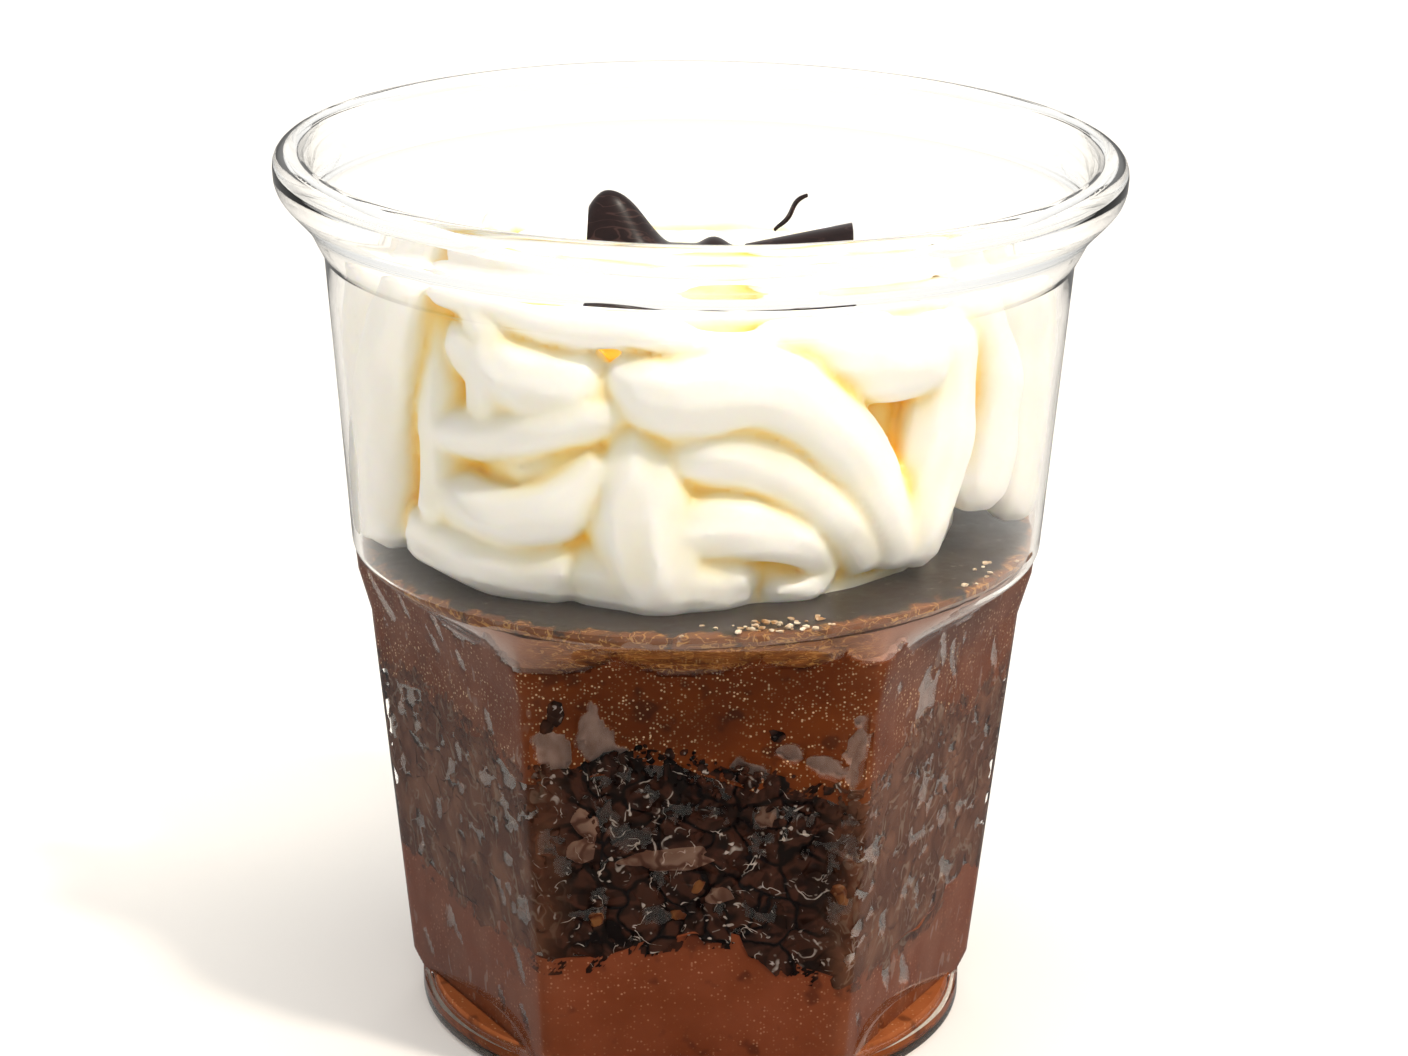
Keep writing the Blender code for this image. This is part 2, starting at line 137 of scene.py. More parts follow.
lamp = bpy.data.objects.new("lamp", bpy.data.lights.new("lamp", "AREA"))
scene.collection.objects.link(lamp)
lamp.data.shape = "DISK"
lamp.data.size = 0.10
lamp.data.energy = 8.5
lamp.data.color = colour("fff6e8")[:3]
lamp.location = Vector((0.39, -0.36, 0.85)).normalized() * 1.2
lamp.rotation_euler = lamp.location.to_track_quat("Z", "Y").to_euler()

bm = bmesh.new()
bmesh.ops.create_circle(bm, cap_ends=True, segments=96, radius=2.5)
table = bpy.data.objects.new("table", bpy.data.meshes.new("table"))
bm.to_mesh(table.data)
bm.free()
scene.collection.objects.link(table)
table.visible_glossy = False
# Matt white wall paint, rolled on: no gloss, and hardly any change of tone.
paint, tree, shader = finish_named("matt_table_paint", {"Roughness": 0.9})
grain = node(tree, "ShaderNodeTexNoise", {"Scale": 9.0, "Detail": 3.0})
tone = node(tree, "ShaderNodeMix", {"data_type": "RGBA", 6: colour("e6e2dd"),
                                    7: colour("eae6e1")}, _0=grain.outputs[0])
tree.links.new(tone.outputs[2], shader.inputs["Base Color"])
table.data.materials.append(paint)

# --- The cup ---------------------------------------------------------------------------------
# A thin tumbler of clear polystyrene, injection moulded in one shot: round foot ring, six flat
# facets with softened ridges, a small shelf, a plain round wall and a rolled rim.

RIM_RADIUS, BEAD_WIDTH, WALL = 46.0, 4.0, 0.8
FOOT_RADIUS, FOOT_HEIGHT, FOOT_WALL, FLOOR_TOP = 31.0, 3.0, 1.2, 1.0
HEX_CORNER_AT_TABLE, HEX_TAPER, HEX_FLARE, FLARE_BOTTOM = 31.95, 0.1025, 0.9, 46.0
CHAMFER_TOP, CHAMFER_RADIUS = 4.8, 32.5
SHELF_BOTTOM, SHELF_TOP = 50.8, 56.0
ROUND_RADIUS, ROUND_TAPER = 38.25, 0.076
FLARE_START = 88.0
BEAD_LEVEL, BEAD_RISE = 97.4, 2.0  # of the rim's widest line, and of its top over that
RIM_LEAN = 0.012  # the soft rim stands a little lower in front than behind
RIDGE_SHARPNESS = 90.0
CUP_STEPS = 264
RIDGE_CROWDING = 0.1  # draws the steps round the cup closer together at the ridges


def mix(a, b, t):
    return a + (b - a) * min(max(t, 0.0), 1.0)


def ease(t):
    t = min(max(t, 0.0), 1.0)
    return t * t * (3 - 2 * t)


def hexagon(angle, corner):
    """Radius of a six-sided outline with softened corners, one of them at +X."""
    from_flat = (angle % (math.pi / 3)) - math.pi / 6
    near, far = math.cos(from_flat), math.cos(math.pi / 3 - abs(from_flat))
    blunt = (near ** RIDGE_SHARPNESS + far ** RIDGE_SHARPNESS) ** (1 / RIDGE_SHARPNESS)
    return corner * math.cos(math.pi / 6) / blunt


def body_radius(angle, height):
    """Radius of the cup's outside: six facets, then the shelf, then a plain round wall."""
    flare = mix(0.0, HEX_FLARE, (height - FLARE_BOTTOM) / (SHELF_BOTTOM - FLARE_BOTTOM))
    facet = hexagon(angle, HEX_CORNER_AT_TABLE + HEX_TAPER * height + flare)
    if height < CHAMFER_TOP:
        rise = (height - FOOT_HEIGHT) / (CHAMFER_TOP - FOOT_HEIGHT)
        facet = min(facet, mix(FOOT_RADIUS, CHAMFER_RADIUS, rise))
    plain = ROUND_RADIUS + ROUND_TAPER * (height - SHELF_TOP)
    return mix(facet, plain, ease((height - SHELF_BOTTOM) / (SHELF_TOP - SHELF_BOTTOM)))


def inside_radius(angle, height):
    """Radius of the cup's inside at a height."""
    if height < FOOT_HEIGHT - WALL:
        return FOOT_RADIUS - FOOT_WALL
    return body_radius(angle, max(height, FOOT_HEIGHT)) - WALL


def smooth_path(points, steps):
    """A Catmull-Rom curve through the points."""
    ends = [points[0]] + list(points) + [points[-1]]
    path = []
    for a, b, c, d in zip(ends, ends[1:], ends[2:], ends[3:]):
        for step in range(steps):
            t = step / steps
            path.append(0.5 * ((2 * b) + (c - a) * t + (2 * a - 5 * b + 4 * c - d) * t * t
                               + (3 * b - a - 3 * c + d) * t ** 3))
    return path + [points[-1]]


def spun(bm, outline, steps):
    """Spins an outline of (radius, height) points round the cup's axis into a closed skin."""
    verts = [bm.verts.new((radius, 0.0, height)) for radius, height in outline]
    edges = [bm.edges.new(pair) for pair in zip(verts, verts[1:])]
    bmesh.ops.spin(bm, geom=verts + edges, cent=(0, 0, 0), axis=(0, 0, 1), angle=math.tau,
                   steps=steps, use_merge=True, use_duplicate=False)
    bmesh.ops.remove_doubles(bm, verts=bm.verts, dist=0.0005)


def ball_of(fine):
    """The corners and faces of a ball of radius one, to be laid down many times."""
    made = bmesh.new()
    bmesh.ops.create_icosphere(made, subdivisions=fine, radius=1.0)
    made.verts.ensure_lookup_table()
    shape = ([v.co.copy() for v in made.verts],
             [[v.index for v in face.verts] for face in made.faces])
    made.free()
    return shape


BALLS = {fine: ball_of(fine) for fine in (1, 2)}


def add_ball(bm, fine, place):
    """Lays a ball down in bm, each of its corners moved by place(corner)."""
    corners, faces = BALLS[fine]
    verts = [bm.verts.new(place(co)) for co in corners]
    for face in faces:
        bm.faces.new([verts[i] for i in face])


def settled(name, bm, look, nodes=(), sharp=35.0):
    """Turns a bmesh in millimetres into a piece in metres that rides on the cup."""
    bmesh.ops.scale(bm, vec=(MM, MM, MM), verts=bm.verts)
    mesh = bpy.data.meshes.new(name)
    bm.to_mesh(mesh)
    bm.free()
    mesh.shade_smooth()
    mesh.set_sharp_from_angle(angle=math.radians(sharp))
    piece = bpy.data.objects.new(name, mesh)
    scene.collection.objects.link(piece)
    mesh.materials.append(look)
    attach(piece, "root")
    for cad_node in nodes:
        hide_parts(cad_node)
    return piece


def steps_between(low, high, step):
    """Even heights from low up to just under high."""
    count = max(1, round((high - low) / step))
    return [low + (high - low) * i / count for i in range(count)]


body_loops = (
    steps_between(FOOT_HEIGHT, CHAMFER_TOP, 0.15) + steps_between(CHAMFER_TOP, 7.0, 0.7)
    + steps_between(7.0, FLARE_BOTTOM, 5.0) + steps_between(FLARE_BOTTOM, SHELF_BOTTOM, 1.1)
    + steps_between(SHELF_BOTTOM, SHELF_TOP, 0.3) + steps_between(SHELF_TOP, FLARE_START, 4.0)
    + [FLARE_START]
)
OUTER, INNER = 38.0, 28.0  # stand-ins for the wall's two faces, moved to their places below
wall_top = body_radius(0.0, FLARE_START)
flare = smooth_path([Vector(p) for p in (
    (wall_top, FLARE_START), (41.6, 89.8), (42.4, 91.4), (43.5, 92.8), (44.6, 94.0),
    (45.6, 95.3), (RIM_RADIUS, 96.6))], 3)[:-1]
bead = []
for step in range(15):
    around = math.pi * step / 14
    bead.append(Vector((RIM_RADIUS - BEAD_WIDTH / 2 * (1 - math.cos(around)),
                        BEAD_LEVEL + BEAD_RISE * math.sin(around) ** 0.8)))
return_wall = smooth_path([Vector(p) for p in (
    (RIM_RADIUS - BEAD_WIDTH + 0.05, BEAD_LEVEL - 0.6), (42.2, 95.0), (42.35, 93.6),
    (42.2, 92.6), (41.45, 91.2), (40.8, 89.8), (wall_top - WALL, FLARE_START))], 4)
foot_edge = [(FOOT_RADIUS - 3.9, 0.5), (FOOT_RADIUS - 3.5, 0.0), (FOOT_RADIUS - 1.0, 0.0),
             (FOOT_RADIUS - 0.6, 0.08), (FOOT_RADIUS - 0.3, 0.3), (FOOT_RADIUS - 0.08, 0.6),
             (FOOT_RADIUS, 1.0), (FOOT_RADIUS, FOOT_HEIGHT - 0.3)]
outline = (
    [(0.0, 0.5)] + foot_edge + [(OUTER, z) for z in body_loops[:-1]]
    + [tuple(p) for p in flare + bead + return_wall[:-1]]
    + [(INNER, z) for z in reversed(body_loops[1:])]
    + [(FOOT_RADIUS - FOOT_WALL + 0.25, FOOT_HEIGHT - WALL + 0.25),
       (FOOT_RADIUS - FOOT_WALL, FOOT_HEIGHT - WALL - 0.1),
       (FOOT_RADIUS - FOOT_WALL, FLOOR_TOP + 0.6), (FOOT_RADIUS - FOOT_WALL - 0.6, FLOOR_TOP),
       (0.0, FLOOR_TOP)]
)
hollow_rim = [(43.3, 94.2), (43.8, 94.7), (44.4, 95.4), (44.95, 96.3), (44.6, 96.9),
              (43.5, 96.9), (43.0, 96.3), (42.95, 95.2)]
bm = bmesh.new()
spun(bm, outline, CUP_STEPS)
bmesh.ops.recalc_face_normals(bm, faces=bm.faces)
solid = set(bm.faces)
spun(bm, hollow_rim + hollow_rim[:1], CUP_STEPS)
void = [face for face in bm.faces if face not in solid]
bmesh.ops.recalc_face_normals(bm, faces=void)
bmesh.ops.reverse_faces(bm, faces=void)
for vert in {vert for face in void for vert in face.verts}:  # it is taller at the sides
    vert.co.z += 0.62 * (vert.co.z - hollow_rim[0][1]) * abs(vert.co.x / vert.co.xy.length)
for vert in bm.verts:
    x, y, z = vert.co
    angle, radius = math.atan2(y, x), math.hypot(x, y)
    if radius < 0.01:
        continue
    angle -= RIDGE_CROWDING * math.sin(6 * angle)
    if FOOT_HEIGHT - 0.01 <= z <= FLARE_START + 0.01:
        if abs(radius - OUTER) < 0.01:
            radius = body_radius(angle, z)
        elif abs(radius - INNER) < 0.01:
            radius = inside_radius(angle, z)
    y = radius * math.sin(angle)
    z += RIM_LEAN * y * ease((z - FLARE_START) / 9)
    vert.co = (radius * math.cos(angle), y, z)

# Clear polystyrene straight from a polished mould: glass-clear and sharp in its reflections,
# with a very slight unevenness that makes them swim.
plastic, tree, shader = finish_named("clear_moulded_polystyrene", {
    "Base Color": colour("fefefd"), "Roughness": 0.0, "IOR": 1.32,
    "Transmission Weight": 1.0})
spot = node(tree, "ShaderNodeTexCoord")
ripple = node(tree, "ShaderNodeTexNoise", {"Scale": 1 / (9 * MM), "Detail": 2.0},
              Vector=spot.outputs["Object"])
bump = node(tree, "ShaderNodeBump", {"Strength": 0.25, "Distance": 0.05 * MM},
            Height=ripple.outputs[0])
tree.links.new(bump.outputs[0], shader.inputs["Normal"])
ray = node(tree, "ShaderNodeLightPath")
through = node(tree, "ShaderNodeBsdfTransparent", {"Color": colour("f7f6f4")})
both = node(tree, "ShaderNodeMixShader", None, _0=ray.outputs["Is Shadow Ray"],
            _1=shader.outputs[0], _2=through.outputs[0])
tree.links.new(both.outputs[0], tree.nodes["Material Output"].inputs["Surface"])
settled("cup_shell", bm, plastic, ["cup"])

# --- The mousses -----------------------------------------------------------------------------
# Two chocolate mousses, whipped and poured in while soft, so they wet the cup's wall and show
# through it. Where air stayed between, a paler dry pocket shows with a crisp edge; its paleness is
# partly painted reflection off the air gap.

LAYER_STEPS = 432
INTO_WALL = 0.25
SPARKLE_SIZE = 0.36
CAKE_BOTTOM, CAKE_TOP = 15.0, 39.5
CAKE_BOTTOM_LUMPS = ((1, 1.6, 4.6), (3, 1.5, 0.4), (5, 1.3, 2.6), (8, 0.7, 1.1))
CAKE_TOP_LUMPS = ((2, 0.9, 0.7), (5, 1.0, 3.9), (7, 0.8, 0.2), (11, 0.5, 2.2))
GLAZE_BOTTOM, GLAZE_TOP, GLAZE_SLOPE = 54.9, 56.6, 0.026
# Air pockets on the front and right: degrees from the front towards +X, height, half width in
# degrees, half height, lean
AIR_POCKETS = (
    (-19.5, 42.6, 3.0, 4.0, -0.5), (-14.0, 39.3, 5.0, 1.7, -0.35), (-27.0, 41.2, 3.2, 2.0, -0.3),
    (-5.0, 38.6, 4.2, 1.3, -0.2), (17.5, 41.0, 2.6, 0.9, -0.2), (10.5, 38.6, 4.2, 1.2, -0.1),
    (23.5, 39.6, 3.2, 1.1, -0.15), (52.0, 41.5, 5.5, 4.2, -0.6), (60.0, 36.0, 5.0, 2.6, -0.4),
    (28.5, 41.0, 1.4, 4.0, 0.0),
)
BAND_CUSPS = (-63.6, -38.8, -14.7, 9.8, 24.3, 35.4, 51.5, 75.5)
CONTACT_TOP, DEEPEST_SAG = 54.6, 4.4


def from_front(angle):
    """Degrees round the cup from the front (-Y) towards +X, from -180 to 180."""
    return (math.degrees(angle) + 90 + 180) % 360 - 180


def waves(angle, lumps):
    """A sum of slow waves round the cup: how many, how high, and where each starts."""
    return sum(size * math.sin(count * angle + start) for count, size, start in lumps)


def wobble(angle, height, scale, seed, stretch=1.0):
    """Smooth noise on the wall, whose features are about scale millimetres wide."""
    spot = Vector((36 * math.cos(angle), 36 * math.sin(angle), height / stretch + seed * 57.0))
    return noise.noise(spot / scale)


def cusp_list():
    """The band's cusps all the way round, in degrees: as named in front, and uneven behind."""
    degrees = list(BAND_CUSPS)
    at = BAND_CUSPS[-1]
    chance = random.Random(4)
    while at < 280:
        at += chance.uniform(11, 24)
        degrees.append(at)
    return [d for d in degrees if d < 360 - 66] + [360 - 63.6]


CUSPS = cusp_list()


def contact_top(angle):
    """Height up to which the top mousse wets the wall: arcs that hang between cusps."""
    degrees = from_front(angle)
    if degrees < CUSPS[0]:
        degrees += 360
    for low, high in zip(CUSPS, CUSPS[1:]):
        if low <= degrees <= high:
            share = (degrees - low) / (high - low)
            sag = math.sqrt(max(0.0, 1 - (2 * share - 1) ** 2)) ** 0.8
            return CONTACT_TOP - sag * min(DEEPEST_SAG, 1.2 + 0.12 * (high - low))
    return 53.0


def air(angle, height):
    """Air between food and wall: over 0.5 there is a pocket, under it the food wets the wall."""
    degrees = from_front(angle)
    rough = 0.55 * wobble(angle, height, 1.4, 3) + 0.5 * wobble(angle, height, 3.5, 5)
    field = 0.0
    for middle, level, wide, tall, lean in AIR_POCKETS:
        if abs(degrees - middle) < 2.5 * wide:
            across = (degrees - middle) / wide
            up = (height - level - lean * (degrees - middle)) / tall
            field = max(field, 1.0 - 0.5 * math.hypot(across, up) + 0.5 * rough)
    streak = wobble(angle + height * 0.014, height, 2.2, 9, stretch=2.6)
    field = max(field, beside(angle) * (0.12 + 0.8 * streak + 0.15 * rough))
    top = contact_top(angle) + 0.25 * rough
    return max(field, 0.5 + (height - top) / 1.2)


def beside(angle):
    """One on the two facets beside the front one and on the back one, and nought between."""
    return ease((0.2 - 0.5 * math.cos(3 * math.radians(from_front(angle)))) / 0.4)


def mousse_layer(name, lower, upper, look, nodes, floor=False):
    """A mousse between two levels given round the wall, with a finely drawn outer face."""
    rows = 24 if floor else 34
    bm = bmesh.new()
    inner = [(r, 0.0) for r in (0.0, 8.0, 16.0, 22.0, 26.0, 29.0)]
    outline = inner + [(40.0, 1.0 + i) for i in range(rows + 1)]
    outline += [(r, rows + 2.0) for r, _ in reversed(inner)]
    spun(bm, outline, LAYER_STEPS)
    pocket = bm.verts.layers.float.new("pocket")
    side = bm.verts.layers.float.new("side")
    for vert in bm.verts:
        x, y, row = vert.co
        angle, radius = math.atan2(y, x), math.hypot(x, y)
        under, over = lower(angle), upper(angle)
        vert[side] = beside(angle)
        if radius < 35:
            level = lower if row < 0.5 else upper
            vert.co.z = mix(level(0.0), level(angle), radius / 31)
            continue
        height = under + (over - under) * (row - 1.0) / rows
        field = air(angle, height)
        vert[pocket] = min(max(field, 0.0), 1.0)
        reach = inside_radius(angle, height) + INTO_WALL
        reach -= ease((field - 0.42) / 0.16) * (
            INTO_WALL + 0.35 + 0.25 * (1 + wobble(angle, height, 2.2, 2)))
        vert.co = (reach * math.cos(angle), reach * math.sin(angle), height)
    bmesh.ops.recalc_face_normals(bm, faces=bm.faces)
    return settled(name, bm, look, nodes)


def contour(tree, spot, size, half, stretch=(1.0, 1.0, 1.0), seed=0.0, bend=1.0):
    """Thin curved lines, as a factor: the middle contour of a noise size millimetres wide."""
    moved = node(tree, "ShaderNodeMapping", {"Scale": stretch, "Rotation": (0.35, 0.25, 0.0),
                                             "Location": (seed, seed, 0.0)}, Vector=spot)
    field = node(tree, "ShaderNodeTexNoise", {"Scale": 1 / (size * MM), "Detail": 2.0,
                                              "Distortion": bend}, Vector=moved.outputs[0])
    off = node(tree, "ShaderNodeMath", {"operation": "SUBTRACT", 1: 0.5}, _0=field.outputs[0])
    off = node(tree, "ShaderNodeMath", {"operation": "ABSOLUTE"}, _0=off.outputs[0])
    return node(tree, "ShaderNodeMapRange", {"From Min": half, "From Max": half * 0.4},
                Value=off.outputs[0]).outputs[0]


def patches(tree, spot, size, low, high, stretch=(1.0, 1.0, 1.0), seed=0.0, detail=2.0):
    """Where a noise size millimetres wide rises over a level, as a factor."""
    moved = node(tree, "ShaderNodeMapping", {"Scale": stretch, "Rotation": (0.3, 0.4, 0.0),
                                             "Location": (seed, 0.0, seed)}, Vector=spot)
    field = node(tree, "ShaderNodeTexNoise", {"Scale": 1 / (size * MM), "Detail": detail},
                 Vector=moved.outputs[0])
    return node(tree, "ShaderNodeMapRange", {"From Min": low, "From Max": high},
                Value=field.outputs[0]).outputs[0]


def laid(tree, under, text, share, *others):
    """Lays a colour over a pattern or another colour, as strongly as the product of its
    shares."""
    under = colour(under) if isinstance(under, str) else under
    for other in others:
        share = node(tree, "ShaderNodeMath", {"operation": "MULTIPLY"}, _0=share,
                     _1=other).outputs[0]
    return node(tree, "ShaderNodeMix", {"data_type": "RGBA", 7: colour(text)}, _0=share,
                _6=under).outputs[2]


def surfaced(tree, shader, tone, grain, smooth, dull, strength, depth):
    """Joins a finish to its shader: the colour, and from its grain the roughness and a fine
    relief, depth millimetres deep."""
    tree.links.new(tone, shader.inputs["Base Color"])
    rough = node(tree, "ShaderNodeMapRange", {"To Min": smooth, "To Max": dull}, Value=grain)
    tree.links.new(rough.outputs[0], shader.inputs["Roughness"])
    bump = node(tree, "ShaderNodeBump", {"Strength": strength, "Distance": depth * MM},
                Height=grain)
    tree.links.new(bump.outputs[0], shader.inputs["Normal"])


def mousse_finish(name, deep, plain, pale, sparkle, sparkle_share):
    """Aerated chocolate mousse against plastic: soft brown clouds with tiny pale dots, painted
    sparkle of burst bubbles at the wall, and a greyer, duller brown in the air pockets, partly its
    own dry tone and partly painted reflection off the gap. Beside the front it lies less close,
    under painted reflection: dusky clouds, a net of thin pale lines and slanting flecks. The dots
    are drawn a little coarser than the real ones, or they wouldn't show."""
    made, tree, shader = finish_named(name, {"IOR": 1.42, "Specular IOR Level": 0.1})
    spot = node(tree, "ShaderNodeTexCoord").outputs["Object"]
    place = node(tree, "ShaderNodeSeparateXYZ", Vector=spot)
    side = node(tree, "ShaderNodeAttribute", {"attribute_name": "side"}).outputs["Fac"]
    tall, wide = (1.0, 1.0, 0.7), (1.0, 1.0, 3.0)
    clouds = node(tree, "ShaderNodeTexNoise", {"Scale": 1 / (5 * MM), "Detail": 5.0}, Vector=spot)
    body = laid(tree, deep, plain, clouds.outputs[0])
    body = laid(tree, body, "2e1006", patches(tree, spot, 3.2, 0.60, 0.70, seed=0.3), 0.55)
    # Beside the front, painted reflection: dusky brown, paler clouds and pale flecks for the
    # plastic's sheen on those facets.
    body = laid(tree, body, "743e22", side, 0.45)
    body = laid(tree, body, "8a5a44", patches(tree, spot, 4.0, 0.35, 0.7, tall, seed=0.1), side,
                0.55)
    # The painted reflection's net of pale lines lies in a belt round the cake layer only.
    rise = node(tree, "ShaderNodeMapRange", {"From Min": 22 * MM, "From Max": 32 * MM},
                Value=place.outputs["Z"]).outputs[0]
    fall = node(tree, "ShaderNodeMapRange", {"From Min": 47 * MM, "From Max": 40 * MM},
                Value=place.outputs["Z"]).outputs[0]
    body = laid(tree, body, "9c8678", contour(tree, spot, 3.0, 0.03, tall, 0.2),
                patches(tree, spot, 2.5, 0.50, 0.58, tall, seed=0.6), rise, fall, side, 0.55)
    body = laid(tree, body, "a08c80",
                patches(tree, spot, 1.5, 0.69, 0.72, (1.0, 1.0, 0.4), seed=0.4, detail=1.0),
                side, 0.4)
    # Painted sparkle: pale dots where tiny bubbles touch the wall.
    sparkle_cells = node(tree, "ShaderNodeTexVoronoi", {"Scale": 1 / (SPARKLE_SIZE * MM)}, Vector=spot)
    sparkle_dots = node(tree, "ShaderNodeMapRange", {"From Min": 0.42, "From Max": 0.22},
                Value=sparkle_cells.outputs["Distance"]).outputs[0]
    pick = node(tree, "ShaderNodeSeparateXYZ", Vector=sparkle_cells.outputs["Color"])
    some = node(tree, "ShaderNodeMapRange", {"From Min": 1 - sparkle_share, "From Max": 1.0},
                Value=pick.outputs[0]).outputs[0]
    body = laid(tree, body, sparkle, sparkle_dots, some, patches(tree, spot, 7.0, 0.30, 0.62, seed=0.5))
    # In the pockets it is dry and streaky, paler partly from its own dry tone and partly from
    # painted reflection off the air gap, with a golden shoulder over the front facet.
    dry_and_gap_sheen = laid(tree, pale, "6a4a3c",
               patches(tree, spot, 2.2, 0.42, 0.66, (1.0, 1.0, 0.6), seed=0.7))
    gold = laid(tree, "4a240e", "965a2a",
                patches(tree, spot, 2.6, 0.3, 0.7, wide, seed=0.2, detail=5.0))
    gold = laid(tree, gold, "cc9450", contour(tree, spot, 2.0, 0.03, wide, 0.5), 0.7)
    aside = node(tree, "ShaderNodeMath", {"operation": "ABSOLUTE"}, _0=place.outputs["X"])
    middle = node(tree, "ShaderNodeMapRange", {"From Min": 20 * MM, "From Max": 13 * MM},
                  Value=aside.outputs[0]).outputs[0]
    over = node(tree, "ShaderNodeMapRange", {"From Min": 49 * MM, "From Max": 50 * MM},
                Value=place.outputs["Z"]).outputs[0]
    shoulder = node(tree, "ShaderNodeMix", {"data_type": "RGBA", 6: colour("9c7464")},
                    _0=middle, _7=gold).outputs[2]
    dry_and_gap_sheen = node(tree, "ShaderNodeMix", {"data_type": "RGBA"}, _0=over, _6=dry_and_gap_sheen,
               _7=shoulder).outputs[2]
    pocket = node(tree, "ShaderNodeAttribute", {"attribute_name": "pocket"})
    shut = node(tree, "ShaderNodeMapRange", {"From Min": 0.47, "From Max": 0.53},
                Value=pocket.outputs["Fac"]).outputs[0]
    body = node(tree, "ShaderNodeMix", {"data_type": "RGBA"}, _0=shut, _6=body, _7=dry_and_gap_sheen).outputs[2]
    surfaced(tree, shader, body, clouds.outputs[0], 0.35, 0.6, 0.4, 0.12)
    return made


def cake_bottom(angle):
    return CAKE_BOTTOM + waves(angle, CAKE_BOTTOM_LUMPS) + 0.8 * wobble(angle, 0, 3.0, 1)


def cake_top(angle):
    return CAKE_TOP + waves(angle, CAKE_TOP_LUMPS) + 0.8 * wobble(angle, 0, 3.0, 2)


def glaze_bottom(angle):
    return GLAZE_BOTTOM + GLAZE_SLOPE * ROUND_RADIUS * math.cos(angle)


# The third colour is the pale of the air pockets, partly painted reflection; the fourth is the
# painted sparkle of the bubbles.
milk_mousse = mousse_finish("milk_chocolate_mousse", "6c300f", "8c4a30", "8a6c60", "b98262",
                            0.35)
dark_mousse = mousse_finish("dark_chocolate_mousse", "501d03", "783a0f", "8a6c60", "f4d2a4",
                            0.5)
mousse_layer("bottom_mousse_fill", lambda a: FOOT_HEIGHT - 1.2, lambda a: cake_bottom(a) + 1.5,
             milk_mousse, ["bottom_mousse"], floor=True)
mousse_layer("top_mousse_fill", lambda a: cake_top(a) - 1.5, glaze_bottom, dark_mousse,
             ["top_mousse"])

# The foot ring is filled by the same mousse as lies above it.
bm = bmesh.new()
in_foot = FOOT_RADIUS - FOOT_WALL + INTO_WALL
spun(bm, [(0.0, FLOOR_TOP - 0.1), (in_foot - 0.8, FLOOR_TOP - 0.1), (in_foot, FLOOR_TOP + 0.6),
          (in_foot, FOOT_HEIGHT - WALL - 0.2), (in_foot - 0.4, FOOT_HEIGHT + 0.3),
          (0.0, FOOT_HEIGHT + 0.3)], 96)
bmesh.ops.recalc_face_normals(bm, faces=bm.faces)
# Its third colour is the pale of the pockets, partly painted reflection; its fourth is the painted
# sparkle.
foot_look = mousse_finish("foot_mousse_pressed_thin", "7c3a16", "a05c34", "94776a", "c89a70",
                          0.2)
settled("foot_mousse", bm, foot_look)

# --- The cake layer --------------------------------------------------------------------------
# Torn chocolate cake soaked in a thick fudge sauce, pressed in loosely. Nuggets and crumbs lie
# against the wall, flattened where they touch it, over a dark sauced mass.

CAKE_STEPS = 432
CURL_SIZE = 4.6
bm = bmesh.new()
rows = 44
outline = [(0.0, 0.0), (15.0, 0.0), (25.0, 0.0)] + [(40.0, 1.0 + i) for i in range(rows + 1)]
outline += [(25.0, rows + 2.0), (15.0, rows + 2.0), (0.0, rows + 2.0)]
spun(bm, outline, CAKE_STEPS)
side = bm.verts.layers.float.new("side")
for vert in bm.verts:
    x, y, row = vert.co
    angle, radius = math.atan2(y, x), math.hypot(x, y)
    under, over = cake_bottom(angle) - 0.5, cake_top(angle) + 0.3
    vert[side] = beside(angle)
    if radius < 35:
        vert.co.z = mix(15.0, under, radius / 30) if row < 0.5 else mix(39.0, over, radius / 30)
        continue
    height = under + (over - under) * (row - 1.0) / rows
    relief = wobble(angle, height, 2.6, 21) + 0.5 * wobble(angle, height, 1.2, 22)
    reach = inside_radius(angle, height) + INTO_WALL - 0.9 * ease((relief - 0.12) / 0.25)
    vert.co = (reach * math.cos(angle), reach * math.sin(angle), height)
bmesh.ops.recalc_face_normals(bm, faces=bm.faces)


